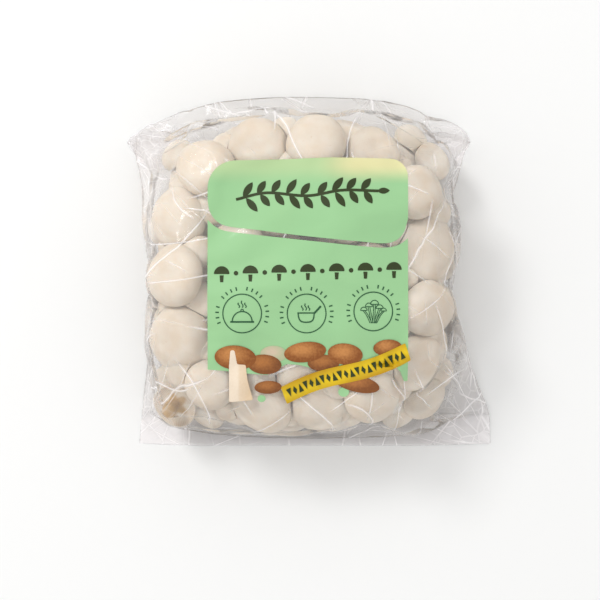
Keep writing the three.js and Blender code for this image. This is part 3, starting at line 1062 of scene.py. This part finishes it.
@dataclass
class FilmPouch:
    """The sealed pouch: one flattened tube of film, blown up by what is in it.

    Each station gives, in millimetres, the y and z of the tube's top line, bottom line and side
    lines, its half width, and the x of its middle.
    """

    node: str = "film_pouch"
    around: int = 168
    along: int = 144
    boxiness: float = 3.1
    seal_mm: float = 11.0
    lap_mm: float = 10.0
    frames: int = 32
    cloth: dict[str, float | str | bool] = field(
        default_factory=lambda: {
            "quality": 6,
            "mass": 0.12,
            "air_damping": 2.0,
            "tension_stiffness": 60.0,
            "compression_stiffness": 60.0,
            "shear_stiffness": 30.0,
            "bending_stiffness": 0.15,
            "bending_damping": 2.0,
            "tension_damping": 12.0,
            "compression_damping": 12.0,
            "shear_damping": 12.0,
            "use_pressure": True,
            "uniform_pressure_force": -0.9,
            "shrink_min": -0.03,
            "shrink_max": -0.1,
            "vertex_group_shrink": "ears",
            "vertex_group_mass": "seal",
        }
    )
    stations: tuple[tuple[float, ...], ...] = (
        (-70.6, 0.9, -70.6, 0.5, -70.6, 0.7, 72.2, 3.3),
        (-65.0, 0.9, -65.0, 0.5, -65.0, 0.7, 72.2, 3.3),
        (-59.8, 1.1, -59.8, 0.5, -59.8, 0.8, 72.2, 3.3),
        (-61.0, 4.0, -56.0, 0.45, -56.0, 2.2, 71.6, 2.9),
        (-65.0, 10.0, -50.0, 0.4, -49.0, 6.0, 70.0, 1.6),
        (-67.4, 20.0, -43.0, 0.4, -41.0, 12.0, 67.6, -0.2),
        (-66.8, 32.0, -36.0, 0.4, -33.0, 17.5, 66.2, -1.6),
        (-63.0, 43.5, -29.0, 0.4, -25.0, 20.5, 65.3, -2.2),
        (-54.0, 51.2, -21.0, 0.4, -17.0, 22.0, 65.0, -2.3),
        (-40.0, 54.2, -12.0, 0.4, -10.0, 22.0, 65.0, -2.3),
        (-20.0, 55.4, -2.0, 0.4, -2.0, 22.0, 65.0, -2.3),
        (0.0, 55.7, 8.0, 0.4, 6.0, 22.0, 65.0, -2.3),
        (22.0, 55.4, 20.0, 0.4, 14.0, 22.0, 65.0, -2.3),
        (42.0, 54.2, 32.0, 0.4, 24.0, 22.0, 65.0, -2.3),
        (56.5, 51.2, 42.0, 0.9, 33.0, 21.0, 65.4, -2.3),
        (65.5, 43.5, 51.0, 1.8, 42.0, 18.5, 66.6, -2.4),
        (69.6, 32.0, 57.0, 2.4, 49.0, 15.0, 68.6, -2.8),
        (70.4, 20.0, 61.0, 2.7, 53.5, 10.5, 70.4, -3.0),
        (69.8, 9.0, 63.0, 2.8, 55.5, 6.0, 71.5, -3.2),
        (67.0, 2.4, 62.0, 2.5, 55.8, 3.2, 72.0, -3.3),
        (61.5, 0.5, 58.0, 1.8, 55.0, 1.6, 72.2, -3.3),
        (53.8, 0.4, 53.8, 1.3, 53.8, 0.85, 71.8, -3.3),
        (48.5, 0.4, 48.5, 1.2, 48.5, 0.8, 68.6, -3.1),
        (42.8, 0.4, 42.8, 1.2, 42.8, 0.8, 64.4, -2.9),
    )

    def half_section(
        self, width: float, rise: float, count: int
    ) -> tuple[np.ndarray, np.ndarray]:
        """Half of a rounded-box section, evenly spaced from its right side to its left.

        Args:
            width: the section's half width.
            rise: the section's height over its sides.
            count: how many points to return.

        Returns:
            The share of the width and the share of the rise at each point.
        """
        angle = np.linspace(0, math.pi, 240)
        power = 2 / self.boxiness
        x = np.sign(np.cos(angle)) * np.abs(np.cos(angle)) ** power
        z = np.abs(np.sin(angle)) ** power
        z[-1] = 0.0
        steps = np.hypot(np.diff(x * width), np.diff(z * max(rise, 0.5)))
        length = np.concatenate([[0], np.cumsum(steps)])
        wanted = np.linspace(0, length[-1], count)
        return np.interp(wanted, length, x), np.interp(wanted, length, z)

    def loft(self) -> np.ndarray:
        """Lays out the tube, station by station.

        Returns:
            Places in metres, by station, then round the tube, then x, y and z.
        """
        rows = smooth_path(np.array(self.stations), self.along, key=(0, 1))
        half = self.around // 2
        rings = []
        for top_y, top_z, low_y, low_z, side_y, side_z, width, middle in rows:
            ring = []
            for (y, z), turn in (((top_y, top_z), 1), ((low_y, low_z), -1)):
                rise = math.hypot(y - side_y, z - side_z)
                x_share, z_share = self.half_section(width, rise, half + 1)
                points = np.column_stack(
                    [
                        middle + turn * width * x_share[:half],
                        side_y + (y - side_y) * z_share[:half],
                        side_z + (z - side_z) * z_share[:half],
                    ]
                )
                ring.append(points)
            rings.append(np.vstack(ring))
        return np.array(rings) * MM

    def faces(self) -> list[tuple[int, int, int, int]]:
        """The tube's quads, and the two rows that close its sealed ends."""
        n, m = self.around, self.along
        quads = []
        for j in range(m - 1):
            for i in range(n):
                k = (i + 1) % n
                quads.append((j * n + i, j * n + k, (j + 1) * n + k, (j + 1) * n + i))
        half = n // 2
        for start, outwards in ((0, False), ((m - 1) * n, True)):
            for i in range(half):
                a, b = start + i, start + i + 1
                c, d = start + (n - i - 1) % n, start + (n - i) % n
                quad = (a, b, c, d) if outwards else (d, c, b, a)
                if len(set(quad)) == 4:
                    quads.append(quad)
        return quads

    def edge_distance(self) -> np.ndarray:
        """How far each station is along the film from the nearer sealed end, in millimetres."""
        rows = smooth_path(np.array(self.stations), self.along, key=(0, 1))
        steps = np.hypot(np.diff(rows[:, 0]), np.diff(rows[:, 1]))
        along = np.concatenate([[0], np.cumsum(steps)])
        return np.minimum(along, along[-1] - along)

    def seal_weight(self) -> np.ndarray:
        """How far each station is part of a seal, from 0 to 1."""
        return 1 - smoothstep(self.seal_mm - 0.5, self.seal_mm + 1.5, self.edge_distance())

    def lap_weight(self, obj: bpy.types.Object) -> np.ndarray:
        """How far each point is part of the lap seam, which runs down the middle underneath."""
        rows = smooth_path(np.array(self.stations), self.along, key=(0, 1))
        middle = np.repeat(rows[:, 7], self.around) * MM
        under = np.tile(np.arange(self.around) > self.around // 2, self.along)
        across = np.abs(coordinates(obj)[:, 0] - middle) / MM
        return under * (1 - smoothstep(self.lap_mm / 2 - 0.8, self.lap_mm / 2 + 0.2, across))

    def hold_weight(self, obj: bpy.types.Object, grow: float) -> np.ndarray:
        """How firmly each point is held while the film settles: the seals, but not their ends."""
        across = np.abs(coordinates(obj)[:, 0]) / (grow * MM)
        held = np.repeat(self.seal_weight(), self.around)
        return held * (1 - smoothstep(38.0, 56.0, across))

    def ear_weight(self, obj: bpy.types.Object, grow: float) -> np.ndarray:
        """How much spare film each point has: most of it in the gathered ears."""
        across = np.abs(coordinates(obj)[:, 0]) / (grow * MM)
        along = np.repeat(1 - smoothstep(8.0, 34.0, self.edge_distance()), self.around)
        return along * smoothstep(40.0, 66.0, across)

    def crumple_weight(self, obj: bpy.types.Object) -> np.ndarray:
        """How crumpled each point is: the ears most, and the folded sides a little."""
        across = np.abs(coordinates(obj)[:, 0]) / MM
        return np.maximum(self.ear_weight(obj, 1.0), 0.55 * smoothstep(56.0, 66.0, across))

    def mark(self, obj: bpy.types.Object, name: str, weights: np.ndarray) -> None:
        """Stores weights in a vertex group."""
        group = obj.vertex_groups.new(name=name)
        for index in np.nonzero(weights > 0.01)[0]:
            group.add([int(index)], float(weights[index]), "REPLACE")

    def drape(self, obj: bpy.types.Object, contents: Sequence[bpy.types.Object]) -> None:
        """Lets the film settle over what is in the pouch, with Blender's cloth solver.

        Args:
            obj: the lofted film.
            contents: the mushrooms and the foot, which the film can't pass through.
        """
        grow = 10.0
        set_coordinates(obj, coordinates(obj) * grow)
        self.mark(obj, "seal", self.hold_weight(obj, grow))
        self.mark(obj, "ears", self.ear_weight(obj, grow))
        core = self.solid_core(contents, grow)
        deselect_all()
        bpy.ops.mesh.primitive_plane_add(size=6.0, location=(0, 0, -0.0062))
        table = bpy.context.object
        for thing, friction in ((core, 12.0), (table, 20.0)):
            thing.modifiers.new("collision", "COLLISION")
            thing.collision.thickness_outer = 0.004
            thing.collision.cloth_friction = friction
        select_only(obj)
        cloth = obj.modifiers.new("cloth", "CLOTH")
        for key, value in self.cloth.items():
            setattr(cloth.settings, key, value)
        cloth.collision_settings.collision_quality = 2
        cloth.collision_settings.distance_min = 0.006
        cloth.collision_settings.use_self_collision = False
        cloth.point_cache.frame_start = 1
        cloth.point_cache.frame_end = 60
        scene = bpy.context.scene
        for number in range(1, self.frames + 1):
            scene.frame_set(number)
        bpy.ops.object.modifier_apply(modifier=cloth.name)
        scene.frame_set(1)
        bpy.data.objects.remove(core)
        bpy.data.objects.remove(table)
        obj.vertex_groups.clear()
        set_coordinates(obj, coordinates(obj) / grow)

    def solid_core(
        self, contents: Sequence[bpy.types.Object], grow: float
    ) -> bpy.types.Object:
        """Makes one watertight lump of everything in the pouch.

        Args:
            contents: the pieces in the pouch.
            grow: how many times larger the lump is made.

        Returns:
            The lump, for the film to settle on.
        """
        places, faces, offset = [], [], 0
        for piece in contents:
            points = coordinates(piece)
            places.append(points)
            faces += [tuple(v + offset for v in p.vertices) for p in piece.data.polygons]
            offset += len(points)
        core = mesh_object("film_core", np.vstack(places) * grow, faces)
        apply_modifier(core, "REMESH", mode="VOXEL", voxel_size=1.6 * MM * grow)
        return core

    def keep_outside(self, places: np.ndarray, contents: Sequence[bpy.types.Object]) -> np.ndarray:
        """Moves film points that are in or against a mushroom out to its skin.

        Args:
            places: the film's points.
            contents: the pieces in the pouch.

        Returns:
            The points, none of them inside a piece.
        """
        gap = 0.35 * MM
        for piece in contents:
            tree = surface(piece)
            skin = coordinates(piece)
            near = ((places > skin.min(0) - 0.001) & (places < skin.max(0) + 0.001)).all(1)
            for index in np.nonzero(near)[0]:
                spot, normal, _, _ = tree.find_nearest(Vector(places[index]))
                if (Vector(places[index]) - spot).dot(normal) < gap:
                    places[index] = spot + normal * gap
        return places

    def build(
        self, material: bpy.types.Material, contents: Sequence[bpy.types.Object]
    ) -> bpy.types.Object:
        """Makes the pouch round what is in it.

        Args:
            material: the film's finish.
            contents: the mushrooms and the foot.

        Returns:
            The finished pouch.
        """
        grid = self.loft()
        obj = mesh_object("clear_film_pouch", grid.reshape(-1, 3), self.faces())
        close_up(obj)
        seals = np.repeat(self.seal_weight(), self.around)
        store(obj, "seal", np.maximum(seals, self.lap_weight(obj)))
        store(obj, "crumple", self.crumple_weight(obj))
        self.drape(obj, contents)
        places = self.keep_outside(coordinates(obj), contents)
        places[:, 2] = np.maximum(places[:, 2], 0.03 * MM)
        set_coordinates(obj, places)
        apply_modifier(obj, "SUBSURF", levels=1, render_levels=1)
        shade_smooth(obj)
        obj.visible_shadow = False
        finish(obj, material, "clear_film", self.node)
        log.info("film pouch: %d faces", len(obj.data.polygons))
        return obj


# ---------------------------------------------------------------------------------------------
# Print
# ---------------------------------------------------------------------------------------------


Outline = list[tuple[float, float]]


def arc(
    x: float, y: float, radius: float, start: float, stop: float, count: int = 10
) -> Outline:
    """Points on an arc, with its angles in degrees."""
    angles = np.radians(np.linspace(start, stop, count))
    return [(x + radius * math.cos(a), y + radius * math.sin(a)) for a in angles]


def ellipse(
    x: float, y: float, wide: float, high: float, turn: float = 0.0, count: int = 40
) -> Outline:
    """The outline of an ellipse of the given full width and height, turned by some degrees."""
    out = []
    c, s = math.cos(math.radians(turn)), math.sin(math.radians(turn))
    for k in range(count):
        a = 2 * math.pi * k / count
        u, v = wide / 2 * math.cos(a), high / 2 * math.sin(a)
        out.append((x + u * c - v * s, y + u * s + v * c))
    return out


def leaf(x: float, y: float, length: float, width: float, turn: float) -> Outline:
    """A pointed leaf that starts at a point and runs off at some degrees."""
    out = []
    c, s = math.cos(math.radians(turn)), math.sin(math.radians(turn))
    for side in (1, -1):
        for k in range(9):
            t = k / 9 if side > 0 else 1 - k / 9
            u = t * length
            v = side * width / 2 * math.sin(math.pi * t) ** 0.8
            out.append((x + u * c - v * s, y + u * s + v * c))
    return out


def rounded(points: Sequence[tuple[float, float]], radius: float, steps: int = 6) -> Outline:
    """Rounds the corners of a closed outline."""
    out = []
    count = len(points)
    for k in range(count):
        before, here, after = (np.array(points[(k + d) % count]) for d in (-1, 0, 1))
        a, b = before - here, after - here
        reach = min(radius, np.linalg.norm(a) * 0.45, np.linalg.norm(b) * 0.45)
        a, b = here + a / np.linalg.norm(a) * reach, here + b / np.linalg.norm(b) * reach
        for t in np.linspace(0, 1, steps):
            p = (1 - t) ** 2 * a + 2 * t * (1 - t) * here + t**2 * b
            out.append((float(p[0]), float(p[1])))
    return out


def curve(points: Sequence[tuple[float, float]] | np.ndarray, count: int) -> Outline:
    """Evenly spaced points on a smooth curve through some points."""
    return [(float(x), float(y)) for x, y in smooth_path(np.array(points), count, key=(0, 1))]


def densify(outline: Outline, step: float, closed: bool = True) -> Outline:
    """Adds points along an outline so that none of its edges is longer than a step."""
    out = []
    pairs = list(zip(outline, outline[1:] + outline[:1], strict=True))
    for (ax, ay), (bx, by) in pairs if closed else pairs[:-1]:
        count = max(1, math.ceil(math.hypot(bx - ax, by - ay) / step))
        out += [(ax + (bx - ax) * k / count, ay + (by - ay) * k / count) for k in range(count)]
    return out if closed else [*out, outline[-1]]


class Layer(Enum):
    """How far over the film each printed layer lies, in millimetres; the marks lie on the band."""

    FIELD = 0.14
    PICTURE_PALE = 0.24
    PICTURE_BACK = 0.32
    PICTURE = 0.40
    PICTURE_FRONT = 0.48
    LINES = 0.26
    BAND = 0.60
    BAND_MARKS = 0.12


@dataclass
class Decal:
    """Flat shapes, in millimetres, that are laid down onto the film as one piece."""

    name: str
    layer: Layer
    step_mm: float = 1.1
    points: list[tuple[float, float]] = field(default_factory=list)
    triangles: list[tuple[int, ...]] = field(default_factory=list)
    tones: list[float] = field(default_factory=list)

    def fill(self, outline: Outline, tone: Callable[[float, float], float] | None = None) -> None:
        """Adds a filled shape.

        Args:
            outline: its closed outline.
            tone: gives the shade from 0 to 1 at a place, for inks that are shaded.
        """
        edge = densify(outline, self.step_mm)
        xs, ys = [p[0] for p in edge], [p[1] for p in edge]
        inner = []
        y = min(ys) + self.step_mm * 0.5
        while y < max(ys):
            x = min(xs) + self.step_mm * (0.5 if len(inner) % 2 else 0.25)
            while x < max(xs):
                inner.append((x, y))
                x += self.step_mm
            y += self.step_mm
        ring = np.array(edge)
        if inner:
            gap = np.linalg.norm(np.array(inner)[:, None] - ring[None], axis=2).min(1)
            inner = [p for p, g in zip(inner, gap, strict=True) if g > self.step_mm * 0.45]
        count = len(edge)
        links = [(k, (k + 1) % count) for k in range(count)]
        loop = [list(range(count))]
        result = delaunay_2d_cdt([Vector(p) for p in edge + inner], links, loop, 1, 1e-4)
        start = len(self.points)
        for vertex in result[0]:
            self.points.append((vertex.x, vertex.y))
            self.tones.append(tone(vertex.x, vertex.y) if tone else 0.0)
        self.triangles += [tuple(v + start for v in face) for face in result[2]]

    def stroke(self, path: Outline, width: float, closed: bool = False) -> None:
        """Adds a line of even width along a path."""
        path = densify(path, self.step_mm * 0.6, closed)
        line = np.array(path)
        ahead = np.roll(line, -1, axis=0) - line
        behind = line - np.roll(line, 1, axis=0)
        if not closed:
            ahead[-1], behind[0] = behind[-1], ahead[0]
        across = unit(unit(ahead) + unit(behind))
        across = np.column_stack([-across[:, 1], across[:, 0]]) * width / 2
        start = len(self.points)
        for left, right in zip(line + across, line - across, strict=True):
            self.points += [tuple(left), tuple(right)]
            self.tones += [0.0, 0.0]
        count = len(line)
        for k in range(count if closed else count - 1):
            a, b = start + 2 * k, start + 2 * ((k + 1) % count)
            self.triangles.append((a, a + 1, b + 1, b))

    def lay_down(
        self, film: BVHTree, material: bpy.types.Material, slot: str, node: str | None
    ) -> bpy.types.Object:
        """Lays the shapes on the film and thickens them a little.

        Args:
            film: the film's surface.
            material: the ink.
            slot: not used.
            node: the CAD node that this piece stands for, if there is one.

        Returns:
            The finished piece.
        """
        down = Vector((0, 0, -1))
        near = [(0.0, 0.0), *arc(0, 0, 0.7, 0, 300, 5)]
        places = []
        for x, y in self.points:
            starts = [Vector(((x + dx) * MM, (y + dy) * MM, 0.2)) for dx, dy in near]
            top = max(film.ray_cast(start, down)[0].z for start in starts)
            places.append((x * MM, y * MM, top + self.layer.value * MM))
        obj = mesh_object(self.name, np.array(places), self.triangles)
        store(obj, "tone", self.tones)
        close_up(obj)
        if sum(p.normal.z for p in obj.data.polygons) < 0:
            obj.data.flip_normals()
        apply_modifier(obj, "SOLIDIFY", thickness=0.04 * MM, offset=-1.0)
        select_only(obj)
        bpy.ops.object.shade_smooth_by_angle(angle=math.radians(50))
        if node:
            obj.visible_shadow = False
        finish(obj, material, slot, node)
        log.info("%s: %d faces", self.name, len(obj.data.polygons))
        return obj


@dataclass
class Artwork:
    """The print on the film: two green fields, a garland, icons, a picture and a yellow band."""

    left: float = -39.2
    right: float = 39.8
    green: Ink = Ink("green_gravure_ink", "#9bcb94", "#e6dfa8", 0.02, 25.0)
    dark: Ink = Ink("dark_olive_ink", "#2f3b16", "#2f3b16")
    line: Ink = Ink("bottle_green_ink", "#235634", "#235634")
    brown: Ink = Ink("brown_cap_ink", "#c8874a", "#8c4f1c", 0.2)
    tan: Ink = Ink("deep_brown_cap_ink", "#b27239", "#804a20", 0.2)
    blush: Ink = Ink("pale_cap_ink", "#d3bfa6", "#b4bb94", 0.1)
    cream: Ink = Ink("cream_flesh_ink", "#f7e6d0", "#dcbf99", 0.08)
    yellow: Ink = Ink("yellow_band_ink", "#efcd18", "#c0930a", 0.05, 3.0)

    def fields(self) -> list[Decal]:
        """The two green fields, on either side of a clear line."""
        left, right = self.left, self.right
        upper = Decal("print_field_upper", Layer.FIELD)
        line = [(left, 28.5), (-38.3, 24.2), (-35.6, 20.4), (-31.0, 18.4), (-20.0, 17.0)]
        line += [(-4.8, 15.0), (10.0, 13.4), (22.0, 12.3), (29.5, 11.7), (34.5, 12.6)]
        line += [(38.0, 15.8), (right, 21.5)]
        shoulders = [*arc(right - 7.0, 38.4, 7.0, 0, 90, 9), (10.0, 45.6), (-10.0, 44.8)]
        shoulders += arc(left + 11.0, 33.4, 11.0, 92, 180, 11)
        upper.fill([*curve(line, 70), *shoulders], self.glow)
        lower = Decal("print_field_lower", Layer.FIELD)
        line = [(left, 21.0), (-36.5, 18.6), (-32.0, 16.6), (-20.0, 15.0), (-4.8, 13.3)]
        line += [(10.0, 11.7), (22.0, 10.5), (30.0, 10.0), (34.5, 10.6), (37.6, 12.0)]
        line += [(right, 13.8)]
        foot = [(right, -42.6), (38.4, -42.8), (36.7, -38.8), (33.0, -35.0), (20.0, -34.6)]
        foot += [(8.0, -37.6), (1.5, -37.4), (-3.0, -36.2), (-7.8, -35.8), (-11.8, -37.6)]
        foot += [(-15.8, -40.2), (-23.8, -39.6), (-32.0, -38.6), (left, -38.0)]
        lower.fill([*curve(line, 70), *foot])
        lower.fill(ellipse(14.4, -46.9, 4.2, 3.8))
        lower.fill(ellipse(-18.0, -49.6, 3.2, 2.8))
        return [upper, lower]

    def glow(self, x: float, y: float) -> float:
        """How far the green runs out into pale yellow at a place in the upper field."""
        return float(smoothstep(34.5, 43.0, y) * (0.3 + 0.65 * smoothstep(2.0, 20.0, x)))

    def garland(self) -> Decal:
        """A sprig of paired leaves, drawn right across the upper field."""
        decal = Decal("print_leaf_garland", Layer.LINES, 0.8)
        stem = curve([(-28.0, 29.0), (-16.0, 31.6), (0.0, 30.4), (14.0, 32.6), (28.0, 32.4)], 60)
        decal.stroke(stem, 1.1)
        for k in range(9):
            t = 3 + k * 6.2
            x, y = stem[int(t)]
            size = 6.0 if k % 3 else 7.0
            decal.fill(leaf(x, y + 0.2, size, 2.8, 58 - k))
            decal.fill(leaf(x + 1.2, y - 0.2, size, 2.8, -50 - k))
        decal.fill(leaf(stem[-1][0] - 0.4, stem[-1][1], 5.0, 2.4, 2))
        return decal

    def name_row(self) -> Decal:
        """A row of tiny mushrooms and dots under the slit."""
        decal = Decal("print_mushroom_row", Layer.LINES, 0.8)
        for k in range(13):
            x = -33.6 + k * 5.65
            y = -0.4 + 0.14 * k
            if k % 2:
                decal.fill(ellipse(x, y + 0.2, 1.8, 1.8, count=14))
                continue
            decal.fill(rounded(arc(x, y, 3.1, 0, 180, 14), 0.4, 3))
            stem = ((-0.8, -0.5), (-0.6, -3.2), (0.6, -3.2), (0.8, -0.5))
            decal.fill([(x + dx, y + dy) for dx, dy in stem])
        return decal

    def icons(self) -> Decal:
        """Three ring icons: a covered dish, a steaming pan and a bunch of mushrooms."""
        decal = Decal("print_line_icons", Layer.LINES, 0.7)
        centres = ((-25.5, -15.9), (-0.2, -15.9), (26.0, -15.1))
        for x, y in centres:
            decal.stroke(ellipse(x, y, 15.2, 15.2, count=72), 0.42, closed=True)
            for k in range(19):
                angle = 202 - k * 12.3
                if k % 5 != 4:
                    ends = [arc(x, y, r, angle, angle, 1)[0] for r in (9.2, 10.6)]
                    decal.stroke(ends, 0.5)
        self.dish(decal, *centres[0])
        self.pan(decal, *centres[1])
        self.bunch(decal, *centres[2])
        return decal

    def steam(self, decal: Decal, x: float, y: float) -> None:
        """Three short wisps of steam."""
        for k, tall in ((-1, 1.9), (0, 2.7), (1, 1.9)):
            path = [
                (x + k * 1.3 + 0.35 * math.sin(t * 6.0), y + t * tall)
                for t in np.linspace(0, 1, 9)
            ]
            decal.stroke(path, 0.4)

    def dish(self, decal: Decal, x: float, y: float) -> None:
        """A dome over a plate."""
        decal.stroke(arc(x, y - 3.1, 3.9, 0, 180, 24), 0.45)
        decal.stroke([(x - 4.7, y - 3.3), (x + 4.7, y - 3.3)], 0.65)
        decal.stroke(arc(x, y + 1.2, 0.5, -20, 200, 8), 0.35)
        self.steam(decal, x, y + 2.3)

    def pan(self, decal: Decal, x: float, y: float) -> None:
        """A saucepan with a handle."""
        decal.stroke([(x - 3.6, y + 0.2), (x + 3.2, y + 0.2)], 0.5)
        bowl = [(x - 3.4, y + 0.2), (x - 2.9, y - 2.2), (x - 1.6, y - 3.3)]
        bowl += [(x + 1.3, y - 3.3), (x + 2.6, y - 2.2), (x + 3.0, y + 0.2)]
        decal.stroke(curve(bowl, 24), 0.5)
        decal.stroke([(x + 3.1, y + 0.2), (x + 5.6, y + 2.9)], 0.75)
        self.steam(decal, x - 0.4, y + 1.2)

    def bunch(self, decal: Decal, x: float, y: float) -> None:
        """A bunch of five small mushrooms."""
        caps = [(-3.7, 0.4, 2.6), (-1.7, 1.9, 2.8), (0.5, 2.8, 3.2)]
        caps += [(2.5, 1.2, 2.8), (4.1, 0.2, 2.2)]
        for dx, dy, wide in caps:
            cap = arc(x + dx, y + dy, wide / 2, 0, 180, 12)
            decal.stroke([*cap, cap[0]], 0.32)
            stem = np.array([(x + dx, y + dy), (x + dx * 0.62, y - 1.6), (x + dx * 0.24, y - 4.6)])
            for side in (-0.34, 0.34):
                decal.stroke(curve(stem + [side, 0], 12), 0.28)

    def picture(self) -> list[Decal]:
        """The picture of brown-capped mushrooms along the foot of the panel."""

        def add_caps(decal: Decal, rows: Sequence[tuple[float, ...]]) -> None:
            """Adds caps, each from its middle, size and turn, and darker towards its rim."""
            for x0, y0, wide, high, turn in rows:

                def tone(x: float, y: float, at: tuple = (x0, y0, wide, high)) -> float:
                    """How dark one cap is at a place."""
                    u, v = (x - at[0]) / at[2] * 2 + 0.15, (y - at[1]) / at[3] * 2 - 0.25
                    return float(smoothstep(0.1, 1.1, math.hypot(u, v)))

                decal.fill(ellipse(x0, y0, wide, high, turn), tone)

        back = Decal("print_picture_back", Layer.PICTURE_BACK, 1.0)
        caps = Decal("print_picture_caps", Layer.PICTURE, 1.0)
        cream = Decal("print_picture_stem", Layer.PICTURE_FRONT, 1.0)
        blush = Decal("print_picture_pale_cap", Layer.PICTURE_PALE, 1.0)
        dark = [(-16.8, -36.0, 13.4, 7.8, -4), (6.5, -35.4, 12.6, 6.4, 2)]
        add_caps(back, [*dark, (-15.4, -45.1, 10.8, 5.2, 2), (19.4, -43.4, 18.6, 6.8, -13)])
        front = [(-28.3, -33.3, 16.3, 9.6, -4), (-0.8, -31.1, 16.6, 8.0, 7)]
        add_caps(caps, [*front, (15.0, -31.9, 13.8, 8.4, -6), (31.7, -29.4, 11.2, 6.4, 4)])
        add_caps(blush, [(-13.2, -31.9, 10.6, 6.6, 0)])
        stem = [(-30.2, -30.4), (-28.6, -30.4), (-27.6, -36.0), (-24.2, -36.2)]
        stem += [(-23.6, -42.0), (-21.4, -50.2), (-30.8, -51.0), (-30.8, -37.0)]
        cream.fill(rounded(stem, 0.7), lambda x, y: 0.1 if x < -27.4 else 0.45 + 0.08 * (x + 27))
        return [back, caps, blush, cream]

    def band(self) -> tuple[Decal, Decal]:
        """The slanted yellow band and the row of small marks on it."""
        centre, turn = np.array((15.3, -39.7)), math.radians(19.6)
        run = np.array((math.cos(turn), math.sin(turn)))
        rise = np.array((-math.sin(turn), math.cos(turn)))

        def at(u: float, v: float) -> tuple[float, float]:
            """The place that is u along the bowed band and v across it."""
            bow = -1.1 * math.sin(u / 26 * math.pi)
            p = centre + run * u + rise * (v + bow)
            return (float(p[0]), float(p[1]))

        strip = Decal("print_band", Layer.BAND, 1.0)
        steps = np.linspace(-26, 26, 40)
        outline = [at(u, -3.6) for u in steps] + [at(u, 3.6) for u in steps[::-1]]
        edge = rounded(outline, 0.9)
        strip.fill(edge, lambda x, y: abs((np.array((x, y)) - centre) @ rise) / 4.4)
        marks = Decal("print_band_marks", Layer.BAND_MARKS, 0.8)
        for k in range(21):
            u = -23.4 + k * 2.34
            if k % 3 == 1:
                marks.fill([at(u - 0.85, 0), at(u, -1.7), at(u + 0.85, 0), at(u, 1.7)])
            else:
                tip = 1.7 if k % 3 else -1.7
                marks.fill([at(u - 1.0, -tip), at(u + 1.0, -tip), at(u, tip)])
        return strip, marks

    def build(self, film: bpy.types.Object) -> list[bpy.types.Object]:
        """Lays the whole print on the film.

        Args:
            film: the finished pouch.

        Returns:
            The printed pieces.
        """
        tree = surface(film)
        dark = self.dark.build()
        green = self.green.build()
        upper, lower = self.fields()
        back, caps, blush, cream = self.picture()
        strip, marks = self.band()
        rows = (
            (upper, green, "green_print", "print_upper_field"),
            (lower, green, "green_print", "print_lower_field"),
            (self.garland(), dark, "green_print", None),
            (self.name_row(), dark, "green_print", None),
            (self.icons(), self.line.build(), "green_print", None),
            (back, self.tan.build(), "green_print", None),
            (caps, self.brown.build(), "green_print", None),
            (blush, self.blush.build(), "green_print", None),
            (cream, self.cream.build(), "green_print", None),
            (strip, self.yellow.build(), "yellow_print", "print_yellow_band"),
        )
        pieces = [decal.lay_down(tree, ink, slot, node) for decal, ink, slot, node in rows]
        pieces.append(marks.lay_down(surface(pieces[-1]), dark, "yellow_print", None))
        return pieces


# ---------------------------------------------------------------------------------------------
# Studio
# ---------------------------------------------------------------------------------------------


@dataclass
class Studio:
    """A white table in soft light from the upper left, seen from straight above."""

    look_at: Vector = field(default_factory=lambda: Vector((-0.0028, -0.0106, 0.0)))
    camera_height: float = 1.1
    lens_mm: float = 160.0
    floor_colour: str = "#f6f6f5"
    sky_strength: float = 0.87

    def build(self) -> None:
        """Makes the floor, the lights and the camera."""
        deselect_all()
        bpy.ops.mesh.primitive_plane_add(size=6.0, location=(0, 0, 0))
        floor = bpy.context.object
        floor.name = "floor"
        material, tree = new_material("white_table")
        paint = {"Base Color": srgb(self.floor_colour), "Roughness": 0.8}
        shader = add_node(tree, "BsdfPrincipled", paint)
        add_node(tree, "OutputMaterial", {"Surface": shader})
        floor.data.materials.append(material)
        floor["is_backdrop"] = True
        self.light("key_softbox", (-0.68, 0.68, 0.92), 0.36, 5.5)
        world = bpy.data.worlds.new("studio")
        world.use_nodes = True
        sky = world.node_tree.nodes["Background"].inputs
        sky["Color"].default_value = srgb("#ffffff")
        sky["Strength"].default_value = self.sky_strength
        bpy.context.scene.world = world
        camera = bpy.data.cameras.new("camera")
        camera.lens = self.lens_mm
        camera.clip_start, camera.clip_end = 0.05, 20.0
        viewer = bpy.data.objects.new("camera", camera)
        viewer.location = self.look_at + Vector((0, 0, self.camera_height))
        bpy.context.scene.collection.objects.link(viewer)
        bpy.context.scene.camera = viewer
        bpy.context.scene.view_settings.view_transform = "Standard"
        bpy.context.scene.cycles.transparent_max_bounces = 24

    def light(
        self, name: str, place: tuple[float, float, float], size: float, watts: float
    ) -> None:
        """Adds one square softbox, aimed at the middle of the pack.

        Args:
            name: its name.
            place: where its middle is.
            size: the length of its sides.
            watts: its power.
        """
        lamp = bpy.data.lights.new(name, "AREA")
        lamp.size = size
        lamp.energy = watts
        obj = bpy.data.objects.new(name, lamp)
        obj.location = place
        aim = Vector((0, 0, 0.03)) - Vector(place)
        obj.rotation_euler = aim.to_track_quat("-Z", "Y").to_euler()
        bpy.context.scene.collection.objects.link(obj)


def main() -> None:
    """Builds the studio and the pack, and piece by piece."""
    logging.basicConfig(level=logging.INFO, format="%(message)s")
    deselect_all()
    Studio().build()
    names = sorted(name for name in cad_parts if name.startswith("mushroom_"))
    mushrooms = MushroomMaker().build(names, MushroomFlesh().build())
    foot = ClusterFoot().build(FootMycelium().build())
    film = FilmPouch().build(ClearFilm().build(), [*mushrooms, foot])
    Artwork().build(film)
    sizes = {"cad": CAD_BOX, "visual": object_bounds()}
    {key: [list(v) for v in box] for key, box in sizes.items()}


if __name__ == "__main__":
    main()
